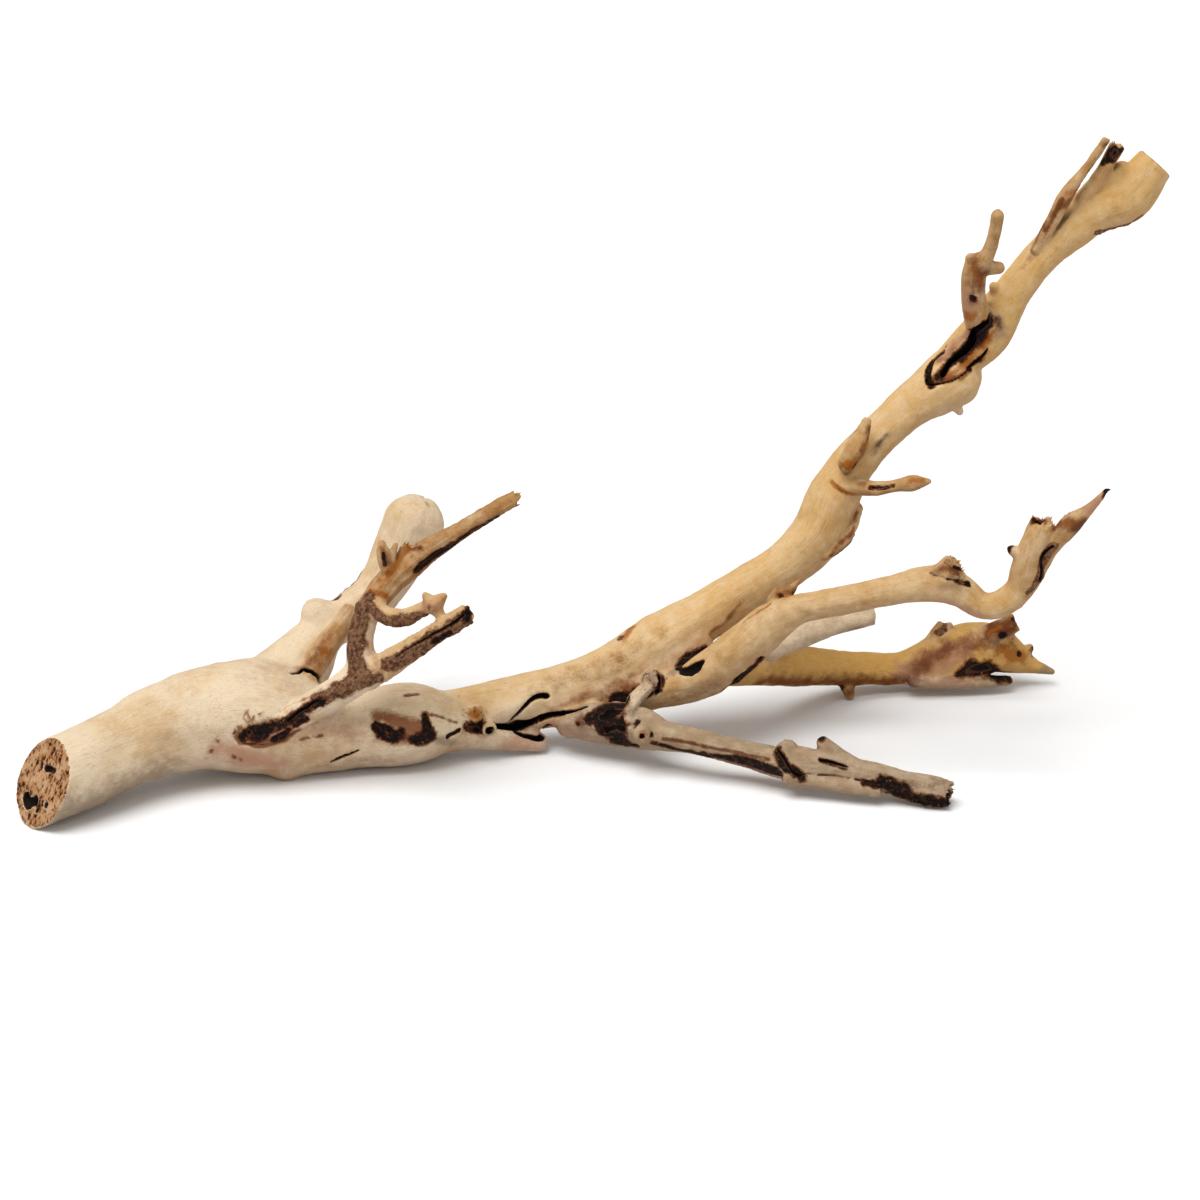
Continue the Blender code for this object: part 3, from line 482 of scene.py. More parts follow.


# Patches of each mark. A few of the pink and brown ones are painted shadows, and say so.
STAINS_AND_SHADOWS: tuple[MarkPatch, ...] = (
    # Bark and rot on the spur, its riser, the curl, the peg and the lance.
    MarkPatch(Mark.BARK, (
        (-121, 57, 103, 3.4), (-124, 55, 95, 4), (-126, 52, 87, 4.6), (-127, 49, 78, 4.6),
        (-126, 47, 70, 4.8), (-123, 44, 64, 5.5), (-129, 43, 60, 4.5), (-135, 44, 57, 4),
        (-145, 43, 53, 3.2),
    )),
    MarkPatch(Mark.BARK, ((-118, 42, 63, 2.6), (-114, 42, 64, 2.4))),
    MarkPatch(Mark.BARK, ((-118, 54, 100, 2.4), (-113, 49, 94, 3.2), (-105, 46, 93, 3.4), (-97, 43, 95, 3.2),
                      (-90, 40, 99, 2.6))),
    MarkPatch(Mark.BARK, (
        (-108, 41, 72, 3.4), (-98, 38, 78, 4.2), (-86, 34, 87, 4.2), (-76, 31, 94, 4), (-67, 30, 102, 4),
    )),
    MarkPatch(Mark.CHAR, ((-84, 35, 88, 1.8), (-76, 32, 94, 1.6)), 0.8),
    MarkPatch(Mark.CHAR, ((-67, 30, 104, 2), (-63, 33, 107, 2.4))),
    MarkPatch(Mark.CHAR, (
        (-184, 40, 33, 2.2), (-180, 40, 35, 3.4), (-176, 40, 35, 3.4), (-172, 41, 37, 2.8),
        (-167, 42, 39, 2.6), (-163, 42, 41, 2.3), (-158, 42, 43, 2.3), (-152, 43, 47, 2), (-145, 42, 51, 2),
    )),
    MarkPatch(Mark.CHAR, ((-168, 41, 31, 1.8), (-164, 41, 32, 2.2), (-161, 42, 35, 1.6))),
    MarkPatch(Mark.CHAR, ((-157, 43, 38, 1.5), (-153, 44, 41, 1.6))),
    MarkPatch(Mark.BROWN, ((-184, 40, 34, 5), (-172, 41, 36, 6), (-160, 43, 41, 5.5), (-147, 43, 50, 4.5)), 0.8),
    MarkPatch(Mark.BROWN, ((-184, 39, 31, 2.6), (-177, 39, 31, 2.6), (-170, 41, 32, 2.4))),
    MarkPatch(Mark.BROWN, ((-189, 40, 33, 1.3), (-186, 39, 30, 1.6), (-181, 39, 29, 1.5), (-176, 40, 28, 1.6),
                       (-171, 41, 28, 1.8), (-167, 42, 29, 1.6), (-163, 43, 30, 1.6), (-155, 45, 35, 1.2))),
    MarkPatch(Mark.BROWN, ((-189, 40, 35, 1.4), (-187, 40, 38, 1.4), (-183, 40, 40, 1.0), (-179, 42, 43, 0.9),
                       (-174, 43, 45, 0.8))),
    MarkPatch(Mark.AMBER, ((-167, 46, 44, 1.2), (-161, 49, 46, 1.2), (-153, 47, 51, 1.3), (-147, 47, 54, 1.4)),
          0.7),
    MarkPatch(Mark.GREY, ((-178, 40, 40, 1.6), (-170, 43, 42, 1.6)), 0.7),
    MarkPatch(Mark.CHAR, ((-94, 66, 115, 1.6), (-89, 68, 118, 2.0), (-84, 70, 120, 2.2), (-77, 74, 123, 1.9),
                      (-70, 76, 127, 1.7), (-64, 78, 131, 1.5), (-57, 81, 135, 1.2), (-53, 82, 138, 1.0))),
    MarkPatch(Mark.AMBER, ((-99, 70, 125, 1.8), (-102, 69, 121, 2.2), (-105, 64, 119, 2.4), (-109, 60, 114, 2),
                       (-113, 62, 111, 1.4))),
    MarkPatch(Mark.AMBER, ((-119, 60, 106, 1.4), (-113, 58, 105, 2), (-110, 59, 103, 1.6))),
    MarkPatch(Mark.BROWN, ((-97, 70, 128, 2.6), (-93, 71, 125, 2.2)), 0.8),
    MarkPatch(Mark.GREY, ((-107, 62, 127, 3.2), (-110, 61, 121, 2.6)), 0.5),
    MarkPatch(Mark.PINK, ((-90, 41, 104, 2.6), (-84, 39, 106, 3.6)), 0.7),
    MarkPatch(Mark.PINK, ((-121, 52, 84, 2), (-119, 50, 76, 2), (-112, 48, 70, 3)), 0.6),
    # The strand on the rear stub, and the stub's end.
    MarkPatch(Mark.BROWN, ((-157, 80, 53, 5), (-151, 85, 56, 5.5), (-147, 91, 60, 4), (-142, 97, 66, 2.4)), 0.66),
    MarkPatch(Mark.AMBER, ((-150, 84, 53, 3.4), (-147, 90, 59, 3.4), (-141, 97, 66, 2.4)), 0.66),
    MarkPatch(Mark.CHAR, ((-110, 61, 120, 0.9), (-111, 61, 126, 0.8))),
    MarkPatch(Mark.BROWN, ((-108, 62, 119, 3), (-111, 62, 127, 2.6)), 0.7),
    # Pits and blush on the stem.
    MarkPatch(Mark.PINK, ((-184, 58, 58, 11), (-165, 70, 56, 14), (-158, 54, 49, 12), (-143, 48, 53, 9)), 0.44),
    MarkPatch(Mark.PINK, ((-198, 40, 27, 7), (-186, 42, 22, 9), (-170, 48, 16, 8)), 0.8),
    MarkPatch(Mark.PINK, ((-160, 46, 34, 9), (-140, 50, 32, 9), (-125, 55, 28, 9)), 0.6),
    MarkPatch(Mark.GREY, ((-270, -2, 8, 13), (-245, 22, 13, 11), (-225, 36, 17, 8)), 0.8),
    MarkPatch(Mark.BROWN, ((-150, 54, 10, 7), (-130, 57, 11, 9), (-112, 60, 12, 8)), 0.45),
    MarkPatch(Mark.BROWN, ((-156, 46, 29, 0.9), (-144, 50, 29, 0.8))),
    MarkPatch(Mark.BROWN, ((-103, 70, 42, 1.1), (-96, 73, 42, 1.3))),
    # Bark and rot on the burl.
    MarkPatch(Mark.BROWN, (
        (-118, 60, 35, 3), (-113, 60, 36, 3.6), (-108, 59, 33, 4.6), (-101, 58, 31, 5), (-94, 60, 29, 4),
    )),
    MarkPatch(Mark.BROWN, ((-113, 59, 35, 2.4), (-107, 58, 31, 3), (-101, 57, 27, 3.4)), 0.8),
    MarkPatch(Mark.BROWN, ((-117, 56, 29, 4), (-110, 54, 25, 5.5), (-101, 57, 24, 5.5), (-91, 61, 23, 5)), 0.9),
    MarkPatch(Mark.CHAR, ((-118, 57, 31, 2), (-114, 55, 29, 3.2), (-110, 55, 25, 3.4), (-106, 56, 25, 2.2),
                      (-104, 57, 28, 1.8))),
    MarkPatch(Mark.CHAR, ((-98, 57, 23, 1.8), (-94, 58, 22, 3.0), (-90, 60, 22, 3.2), (-88, 62, 25, 2))),
    MarkPatch(Mark.CHAR, ((-91, 63, 35, 1.4), (-91, 62, 31, 2), (-90, 61, 27, 2.2))),
    MarkPatch(Mark.BROWN, ((-89, 65, 34, 1.0), (-84, 68, 32, 1.0), (-80, 70, 29, 1.0), (-76, 73, 26, 0.9))),
    MarkPatch(Mark.CHAR, ((-80, 67, 20, 1.0), (-74, 72, 22, 0.9))),
    MarkPatch(Mark.GREY, ((-87, 62, 21, 2.4), (-83, 65, 19, 2.6), (-78, 71, 15, 3)), 0.9),
    MarkPatch(Mark.CHAR, ((-70, 75, 23, 2), (-66, 77, 21, 2.8), (-63, 79, 20, 2.2))),
    MarkPatch(Mark.BROWN, ((-70, 75, 22, 4), (-63, 79, 20, 4.4)), 0.9),
    # The split zone and the dark junction.
    MarkPatch(Mark.BROWN, ((-27, 91, 26, 3), (-11, 93, 31, 4), (4, 95, 35, 5), (20, 98, 43, 4)), 0.6),
    MarkPatch(Mark.BROWN, ((-10, 79, 24, 3.6), (0, 77, 27, 7), (9, 78, 32, 7), (8, 70, 20, 7)), 0.9),
    MarkPatch(Mark.CHAR, ((-5, 77, 25, 2.4), (0, 77, 29, 4.2), (7, 78, 31, 4.4), (13, 80, 34, 2.8))),
    MarkPatch(Mark.CHAR, ((1, 74, 25, 4), (7, 70, 26, 4.6), (11, 69, 27, 3.4))),
    MarkPatch(Mark.CHAR, ((4, 73, 20, 2.8), (11, 70, 18, 3))),
    MarkPatch(Mark.CHAR, ((3, 88, 32, 2.2), (9, 90, 33, 3), (14, 89, 35, 2.8), (18, 86, 37, 2))),
    MarkPatch(Mark.BROWN, ((3, 93, 31, 3.4), (11, 93, 34, 4.4), (18, 90, 38, 4)), 0.9),
    MarkPatch(Mark.CHAR, ((7, 73, 15, 2), (12, 71, 14, 2.2), (18, 69, 14, 1.8))),
    MarkPatch(Mark.AMBER, ((3, 83, 31, 2.4), (8, 80, 31, 1.8)), 0.8),
    MarkPatch(Mark.GREY, ((16, 72, 31, 3), (20, 84, 36, 3))),
    MarkPatch(Mark.BROWN, ((20, 90, 41, 1.6), (21, 90, 36, 1.4)), 0.9),
    MarkPatch(Mark.PINK, ((-50, 86, 8, 7), (-20, 84, 15, 7), (0, 80, 16, 6)), 0.8),
    MarkPatch(Mark.CHAR, ((31, 96, 45, 1.2), (32, 94, 40, 1.5), (31, 91, 36, 1.4), (24, 91, 33, 1.4))),
    # The fork: its eye, the crevices, the amber spots and a painted shadow line.
    MarkPatch(Mark.GREY, ((43, 100, 48, 2.6), (38, 95, 45, 2.4)), 0.9),
    MarkPatch(Mark.CHAR, ((43, 99, 47, 1.8), (48, 102, 52, 3), (55, 105, 55, 2))),
    # Painted shadow: a brown line on the mast along the middle limb's upper edge.
    MarkPatch(Mark.BROWN, ((60, 112, 60, 1.6), (68, 114, 66, 1.8), (78, 112, 78, 1.6)), 0.7),
    MarkPatch(Mark.AMBER, ((75, 82, 79, 1.2), (84, 80, 87, 1.6), (89, 80, 90, 1.8)), 0.9),
    MarkPatch(Mark.AMBER, ((14, 110, 60, 2.8), (17, 117, 63, 2.8))),
    MarkPatch(Mark.CHAR, (
        (67, 88, 38, 2.6), (71, 85, 42, 3), (74, 81, 47, 2.6), (80, 79, 53, 1.8), (85, 77, 60, 1.5),
    )),
    MarkPatch(Mark.BROWN, ((94, 84, 94, 4), (100, 86, 96, 3)), 0.7),
    MarkPatch(Mark.BROWN, ((60, 90, 62, 3), (84, 82, 82, 3)), 0.35),
    MarkPatch(Mark.BROWN, ((38, 88, 30, 4), (55, 82, 37, 6), (66, 80, 46, 5)), 0.5),
    # The mast.
    MarkPatch(Mark.BROWN, (
        (138, 138, 121, 1.4), (136, 135, 113, 1.6), (131, 131, 107, 1.6), (123, 128, 100, 1.4),
    ), 0.8),
    MarkPatch(Mark.BARK, ((139, 140, 119, 0.9), (136, 137, 112, 1.1), (129, 131, 104, 1.1), (121, 129, 98, 0.8))),
    MarkPatch(Mark.BROWN, ((-37, 92, 36, 7), (-21, 96, 40, 9), (-5, 99, 45, 10), (11, 102, 52, 10)), 0.52),
    MarkPatch(Mark.BROWN, ((11, 102, 52, 9), (27, 106, 60, 10), (40, 112, 66, 8)), 0.45),
    MarkPatch(Mark.AMBER, ((123, 133, 140, 1.6), (128, 131, 136, 1.9), (134, 130, 133, 1.7))),
    MarkPatch(Mark.BROWN, ((130, 129, 150, 3.6), (136, 129, 152, 3.6), (139, 131, 160, 3.6), (142, 134, 170, 3)),
          0.75),
    MarkPatch(Mark.AMBER, ((140, 131, 162, 3), (142, 131, 157, 2), (131, 129, 151, 2.4), (136, 129, 149, 2.2))),
    MarkPatch(Mark.CHAR, ((135, 129, 149, 1.1), (138, 130, 150, 1.2))),
    MarkPatch(Mark.GREY, ((146, 138, 155, 2.2), (153, 140, 162, 2.2)), 0.9),
    MarkPatch(Mark.BROWN, ((148, 139, 158, 1.4), (153, 140, 163, 1.5)), 0.8),
    MarkPatch(Mark.AMBER, ((163, 116, 146, 2.6), (169, 115, 147, 2.4)), 0.8),
    MarkPatch(Mark.CHAR, ((143, 125, 139, 1.2), (149, 122, 140, 1.1), (155, 120, 142, 0.8))),
    MarkPatch(Mark.AMBER, ((171, 143, 176, 6), (164, 142, 168, 5)), 0.3),
    MarkPatch(Mark.BROWN, (
        (180, 145, 192, 1.8), (190, 143, 194.5, 2.2), (199, 147, 200, 2), (204, 148, 207, 1.6),
    )),
    MarkPatch(Mark.AMBER, (
        (185, 145, 196, 2.4), (192, 146, 199, 3), (198, 147, 206, 2.4), (203, 147, 213, 2.4),
    ), 0.85),
    MarkPatch(Mark.BROWN, ((186, 145, 196, 1.6), (198, 148, 208, 1.8), (204, 148, 216, 1.6)), 0.8),
    MarkPatch(Mark.PINK, ((181, 153, 202, 3.4), (188, 154, 210, 3.4), (194, 152, 218, 3)), 0.9),
    MarkPatch(Mark.BROWN, ((180, 152, 200, 3), (187, 153, 208, 3.4), (195, 152, 218, 3)), 0.55),
    MarkPatch(Mark.BROWN, ((203, 148, 210, 3.4), (208, 148, 219, 3.4), (210, 148, 226, 3)), 0.55),
    MarkPatch(Mark.CHAR, (
        (181, 156, 206, 1.0), (176, 154, 199, 1.4), (174, 149, 193, 1.8), (176, 146, 189, 1.6),
    )),
    MarkPatch(Mark.CHAR, ((206, 147, 226, 2.2), (200, 144, 218, 3.1), (191, 148, 207, 3.3), (186, 149, 202, 2),
                      (180, 146, 194, 2.3))),
    MarkPatch(Mark.AMBER, ((203, 147, 213, 2), (208, 147, 219, 2), (196, 146, 203, 2)), 0.7),
    MarkPatch(Mark.GREY, ((206, 149, 229, 3.6), (211, 148, 222, 3.6), (211, 148, 216, 3)), 0.8),
    MarkPatch(Mark.BROWN, ((209, 148, 227, 2), (211, 147, 220, 2)), 0.7),
    MarkPatch(Mark.CHAR, ((201, 147, 203, 1.2), (196, 147, 198, 1.4))),
    MarkPatch(Mark.BROWN, ((195, 140, 258, 5), (198, 139, 252, 5.5), (197, 139, 243, 5)), 0.8),
    MarkPatch(Mark.AMBER, ((195, 140, 254, 3.4), (198, 139, 247, 3)), 0.6),
    MarkPatch(Mark.PINK, ((192, 141, 240, 4), (193, 143, 228, 4)), 0.8),
    MarkPatch(Mark.AMBER, ((193, 145, 227, 3.6), (197, 144, 230, 2))),
    MarkPatch(Mark.BROWN, ((204, 137, 268, 2.2), (205, 135, 275, 1.8)), 0.55),
    MarkPatch(Mark.AMBER, ((244, 155, 268, 4), (237, 155, 257, 4), (231, 154, 248, 4), (224, 152, 238, 3)), 0.45),
    MarkPatch(Mark.BROWN, (
        (229, 161, 262, 1.6), (234, 157, 275, 2.2), (240, 154, 284, 2.4), (248, 156, 290, 2.0),
    ), 0.7),
    MarkPatch(Mark.BROWN, ((232, 155, 271, 1.1), (236, 154, 279, 1.5), (240, 154, 288, 1.6))),
    MarkPatch(Mark.BROWN, ((222, 158, 250, 2), (228, 158, 260, 2.6), (233, 158, 270, 3), (238, 157, 280, 2.6)),
          0.66),
    MarkPatch(Mark.AMBER, ((244, 155, 291, 3), (252, 157, 294, 3)), 0.8),
    MarkPatch(Mark.BARK, (
        (261, 158, 269, 1.6), (268, 163, 267, 1.8), (275, 164, 270, 1.6), (283, 164, 277, 1.2),
    )),
    MarkPatch(Mark.CHAR, ((271, 158, 318, 3.2), (266, 158, 310, 2.6), (259, 159, 305, 1.8), (252, 158, 297, 2))),
    # The middle limb's knob, elbow and tip.
    MarkPatch(Mark.CHAR, ((186, 67, 120, 1.2), (190, 71, 118, 1.6))),
    MarkPatch(Mark.BROWN, ((173, 70, 113, 3), (180, 66, 116, 5), (187, 67, 115, 5)), 0.8),
    MarkPatch(Mark.CHAR, ((184, 66, 108, 1.2), (191, 72, 105.5, 1.4))),
    MarkPatch(Mark.PINK, ((176, 70, 92, 3), (188, 70, 86, 4), (200, 70, 85, 4)), 0.9),
    MarkPatch(Mark.CHAR, ((226, 72, 143, 3.4), (225, 73, 138, 2.6))),
    MarkPatch(Mark.BARK, (
        (232, 64, 129, 2), (228, 65, 122, 2), (227, 66, 114, 1.6), (226, 67, 107, 2), (222, 68, 102, 1.8),
    )),
    MarkPatch(Mark.BROWN, ((232, 67, 138, 3.4), (240, 64, 141, 5), (247, 63, 141, 4)), 0.85),
    MarkPatch(Mark.PINK, ((249, 65, 148, 4), (253, 64, 154, 3)), 0.8),
    MarkPatch(Mark.CHAR, ((257, 64, 158, 2.2), (258, 64, 162, 2))),
    # The low limb.
    MarkPatch(Mark.BROWN, (
        (88, 112, 31, 5), (108, 133, 21, 6), (132, 153, 13, 6), (156, 164, 8, 6), (176, 165, 8, 5),
    ), 0.8),
    # Painted shadow: the purple-brown shadow on the low limb below its head, drawn as pink and brown patches.
    MarkPatch(Mark.PINK, ((172, 166, 13, 7), (180, 164, 18, 8), (192, 163, 26, 8), (204, 165, 30, 6))),
    MarkPatch(Mark.BROWN, ((175, 164, 13, 4), (178, 166, 20, 5), (186, 166, 27, 5), (198, 167, 31, 4)), 0.62),
    MarkPatch(Mark.CHAR, (
        (202, 161, 14, 2.6), (208, 162, 17, 5), (215, 163, 16, 5), (222, 167, 13, 3.4), (229, 169, 10, 1.6),
    )),
    # Painted shadow: more of the brown shadow on the low limb below its head.
    MarkPatch(Mark.BROWN, ((176, 164, 14, 7), (180, 165, 20, 8), (190, 165, 28, 7), (200, 166, 32, 6)), 0.72),
    MarkPatch(Mark.BROWN, ((192, 168, 33, 6), (206, 166, 32, 8), (218, 168, 30, 8), (228, 170, 26, 6)), 0.66),
    MarkPatch(Mark.PINK, ((204, 163, 8, 4), (190, 162, 7, 6)), 0.9),
    MarkPatch(Mark.BROWN, ((218, 169, 39, 4), (228, 166, 44, 5))),
    MarkPatch(Mark.AMBER, ((218, 168, 37, 2), (223, 166, 43, 1.6)), 0.8),
    MarkPatch(Mark.AMBER, ((226, 167, 28, 4), (233, 169, 24, 5), (239, 173, 20, 4))),
    MarkPatch(Mark.BARK, ((190, 177, 34, 2), (192, 178, 36, 2))),
    MarkPatch(Mark.GREY, ((250, 181, 9, 4), (255, 181, 8, 4))),
    MarkPatch(Mark.BROWN, ((125, 125, 59, 2), (146, 128, 63, 2.4)), 0.6),
    # The front limb.
    MarkPatch(Mark.CHAR, ((28, 63, 18, 1.3), (42, 59, 16, 1.5), (56, 53, 16, 1.7), (70, 48, 16, 1.9),
                      (80, 44, 15, 2.6), (88, 41, 14, 3), (94, 39, 12, 2.6))),
    MarkPatch(Mark.BROWN, ((33, 61, 22, 1.1), (49, 55, 22, 1.1), (70, 49, 20, 1.1), (88, 42, 19, 1.1))),
    MarkPatch(Mark.BROWN, ((40, 57, 12, 4), (60, 50, 11, 4), (85, 42, 9, 4)), 0.6),
    MarkPatch(Mark.CHAR, ((92, 43, 24, 1.6), (95, 38, 19, 2.6), (98, 36, 17, 2.2), (104, 34, 13, 2))),
    MarkPatch(Mark.CHAR, ((114, 36, 22, 1.1), (120, 34, 21, 1.2), (127, 32, 19, 0.8))),
    MarkPatch(Mark.CHAR, ((145, 28, 13, 3), (151, 26, 11, 3.6), (157, 25, 8, 3), (162, 24, 6, 2.6),
                      (172, 22, 6, 2.4), (182, 26, 5, 4.5))),
    MarkPatch(Mark.CHAR, ((136, 28, 12, 1.4), (143, 27, 11, 2))),
    MarkPatch(Mark.BARK, ((150, 28, 9, 2.4), (160, 25, 5, 3), (178, 24, 6, 3.2))),
    MarkPatch(Mark.BROWN, ((150, 30, 13, 3), (165, 28, 10, 4), (180, 27, 11, 4)), 0.55),
    MarkPatch(Mark.PINK, ((60, 52, 12, 4), (90, 44, 9, 5), (110, 38, 7, 5)), 0.7),
    # The side that is turned away.
    MarkPatch(Mark.BARK, ((-146, 126, 70, 3), (-138, 134, 76, 4), (-128, 142, 84, 3))),
    MarkPatch(Mark.BARK, ((98, 148, 92, 3), (110, 154, 104, 4.5), (116, 156, 118, 3))),
    MarkPatch(Mark.CHAR, ((108, 154, 103, 2.4), (113, 156, 112, 2.2))),
    MarkPatch(Mark.BARK, ((-60, 107, 26, 3), (-40, 111, 27, 4), (-20, 116, 30, 3))),
    MarkPatch(Mark.PINK, ((-220, 78, 20, 9), (-190, 94, 18, 12), (-150, 92, 14, 9)), 0.6),
    MarkPatch(Mark.AMBER, ((200, 175, 205, 4), (212, 175, 222, 3)), 0.6),
    MarkPatch(Mark.BARK, ((176, 187, 16, 3), (190, 191, 20, 4), (204, 194, 24, 3))),
    MarkPatch(Mark.GREY, ((40, 134, 50, 6), (70, 142, 70, 6)), 0.5),
)

# Round spots: x, y, z, reach and strength of each.
SPOTS: dict[Mark, tuple[Spot, ...]] = {
    Mark.BARK: (
        (12, 111, 58, 1.8, 1.0),
    ),
    Mark.CHAR: (
        (-142, 122, 78, 2.2, 1.0), (-59, 80, 18, 1.6, 1.0), (-12, 80, 22, 1.0, 1.0), (27, 62, 24, 1.1, 1.0),
        (29, 62, 19, 1.1, 1.0), (94, 83, 95, 1.6, 1.0), (195, 140, 238, 1.6, 1.0),
        (211, 73, 124.5, 2.2, 1.0), (224, 163, 38, 1.8, 1.0), (231, 167, 47, 1.5, 1.0),
        (236, 172, 23, 1.4, 1.0), (242, 180, 22, 2.4, 1.0), (134, 160, 7, 1.8, 1.0),
        (115, 44, 30, 2.2, 1.0),
    ),
    Mark.BROWN: (
        (-108, 60, 116, 1.8, 1.0), (-86, 38, 106, 1.4, 1.0), (-84, 39, 105, 4.5, 0.55),
        (-93, 142, 124, 3, 0.6), (-198, 38, 31, 2.0, 1.0), (-201, 40, 25, 1.7, 1.0),
        (-182, 42, 46, 1.5, 1.0), (-185, 41, 43, 1.0, 1.0), (-190, 42, 21, 1.7, 1.0),
        (-187, 43, 19, 1.4, 1.0), (-210, 46, 16, 1.8, 0.6), (-12, 80, 23, 2.0, 1.0), (22, 62, 24, 5, 0.5),
        (139, 128, 140, 2.6, 0.9), (195, 141, 238, 3.4, 0.8), (262, 156, 316, 3, 0.8),
        (139, 160, 5, 4, 0.8), (143, 27, 9, 2, 1.0), (-126, 98, 22, 4, 0.8), (66, 141, 66, 4, 0.8),
        (-235, 70, 42, 3, 0.8),
    ),
    Mark.AMBER: (
        (-66, 78, 29, 3.8, 1.0), (22, 60, 25, 2.2, 1.0), (97, 83, 95, 3.4, 1.0), (239, 62, 141, 2.4, 0.8),
    ),
    Mark.GREY: (
        (202, 139, 255, 2.4, 0.8), (184, 65, 117, 3, 0.7), (244, 62, 139, 3, 0.8),
    ),
    Mark.PINK: (
        (24, 90, 40, 4, 0.7), (118, 42, 27, 3, 0.9),
    ),
}


def pieces_of(line: Sequence[Station]) -> list[tuple[Array, Array]]:
    """Straight pieces of a line of stations; a single station becomes a piece of no length."""
    rows = [np.array(row, float) for row in line]
    return list(zip(rows, rows[1:])) or [(rows[0], rows[0])]


def reach_into(line: Sequence[Station], points: Array) -> Array:
    """How deep some points lie inside the round places along a line.

    Args:
        line: x, y, z and radius of each place.
        points: places, as rows of three.

    Returns:
        Depth below the places' outer surface, negative outside, one for each point.
    """
    best = np.full(len(points), -1e3, np.float32)
    for start, end in pieces_of(line):
        run = (end - start)[:3]
        length = max(float(run @ run), 1e-9)
        part = np.clip((points - start[:3]) @ run / length, 0.0, 1.0)
        away = np.linalg.norm(points - start[:3] - part[:, None] * run, axis=1)
        best = np.maximum(best, start[3] + (end[3] - start[3]) * part - away)
    return best


class Sweep:
    """A limb's centreline as short straight pieces, with its radius and a frame that doesn't twist."""

    STEP = 2.5

    def __init__(self, name: str, limb: Limb) -> None:
        """Sample the smooth curve through the limb's stations."""
        self.name = name
        self.limb = limb
        samples = self.curve(np.array(limb.stations, float))
        self.centre = samples[:, :3]
        self.radius = samples[:, 3]
        runs = np.diff(self.centre, axis=0)
        self.length = np.linalg.norm(runs, axis=1)
        self.tangent = runs / self.length[:, None]
        self.along = np.concatenate(([0.0], np.cumsum(self.length)))
        self.side = self.carried_side()
        self.over = np.cross(self.tangent, self.side)

    @classmethod
    def curve(cls, rows: Array) -> Array:
        """Catmull-Rom samples through rows of x, y, z and radius, about STEP apart."""
        if len(rows) == 1:
            return rows
        rows = np.vstack((2.0 * rows[0] - rows[1], rows, 2.0 * rows[-1] - rows[-2]))
        samples = []
        for before, start, end, after in zip(rows, rows[1:], rows[2:], rows[3:]):
            count = max(2, round(float(np.linalg.norm((end - start)[:3])) / cls.STEP))
            t = np.arange(count)[:, None] / count
            samples.append(0.5 * (
                2.0 * start
                + (end - before) * t
                + (2.0 * before - 5.0 * start + 4.0 * end - after) * t ** 2
                + (3.0 * start - before - 3.0 * end + after) * t ** 3
            ))
        samples.append(rows[-2][None])
        return np.vstack(samples)

    def carried_side(self) -> Array:
        """Carry one sideways direction along the centreline, so that it never twists."""
        side = np.cross(self.tangent[0], (0.13, 0.21, 0.97))
        sides = []
        for tangent in self.tangent:
            side = side - tangent * (side @ tangent)
            side = side / np.linalg.norm(side)
            sides.append(side)
        return np.array(sides)

    def read_piece(self, index: int, x: Array, y: Array, z: Array) -> tuple[Array, ...]:
        """Read one straight piece of the limb at some places.

        Args:
            index: the piece.
            x: the places' first coordinate, in an array that broadcasts with the others.
            y: the second coordinate.
            z: the third coordinate.

        Returns:
            Distance to the tube, place along the limb, place to the side and over the axis, and radius.
        """
        start = self.centre[index]
        tangent = self.tangent[index]
        x, y, z = x - start[0], y - start[1], z - start[2]
        run = x * tangent[0] + y * tangent[1] + z * tangent[2]
        held = np.clip(run, 0.0, self.length[index])
        first, second = self.radius[index:index + 2]
        radius = first + (second - first) * held / self.length[index]
        x, y, z = x - held * tangent[0], y - held * tangent[1], z - held * tangent[2]
        side, over = self.side[index], self.over[index]
        last = index == len(self.tangent) - 1
        return (
            np.sqrt(x * x + y * y + z * z) - radius,
            self.along[index] + (np.maximum(run, 0.0) if last else held),
            x * side[0] + y * side[1] + z * side[2],
            x * over[0] + y * over[1] + z * over[2],
            radius,
        )


@dataclass
class Reading:
    """What a limb says of some places: distance to its tube, and where they lie round its axis."""

    distance: Array
    along: Array
    side: Array
    over: Array
    radius: Array

    @classmethod
    def blank(cls, shape: tuple[int, ...], far: float) -> Reading:
        """A reading of places that are all far away."""
        return cls(np.full(shape, far, np.float32), *(np.zeros(shape, np.float32) for _ in range(4)))

    def keep_nearer(self, part: Any, found: tuple[Array, ...]) -> None:
        """Take over a piece's reading, in one part of the arrays, where it is nearer."""
        nearer = found[0] < self.distance[part]
        for mine, new in zip((self.along, self.side, self.over, self.radius, self.distance),
                             (*found[1:], found[0])):
            target = mine[part]
            target[nearer] = np.broadcast_to(new, nearer.shape)[nearer]
            mine[part] = target

    def chosen(self, mask: Array) -> Reading:
        """The reading of the chosen places alone."""
        return Reading(self.distance[mask], self.along[mask], self.side[mask], self.over[mask],
                       self.radius[mask])


Box = tuple[slice, slice, slice]


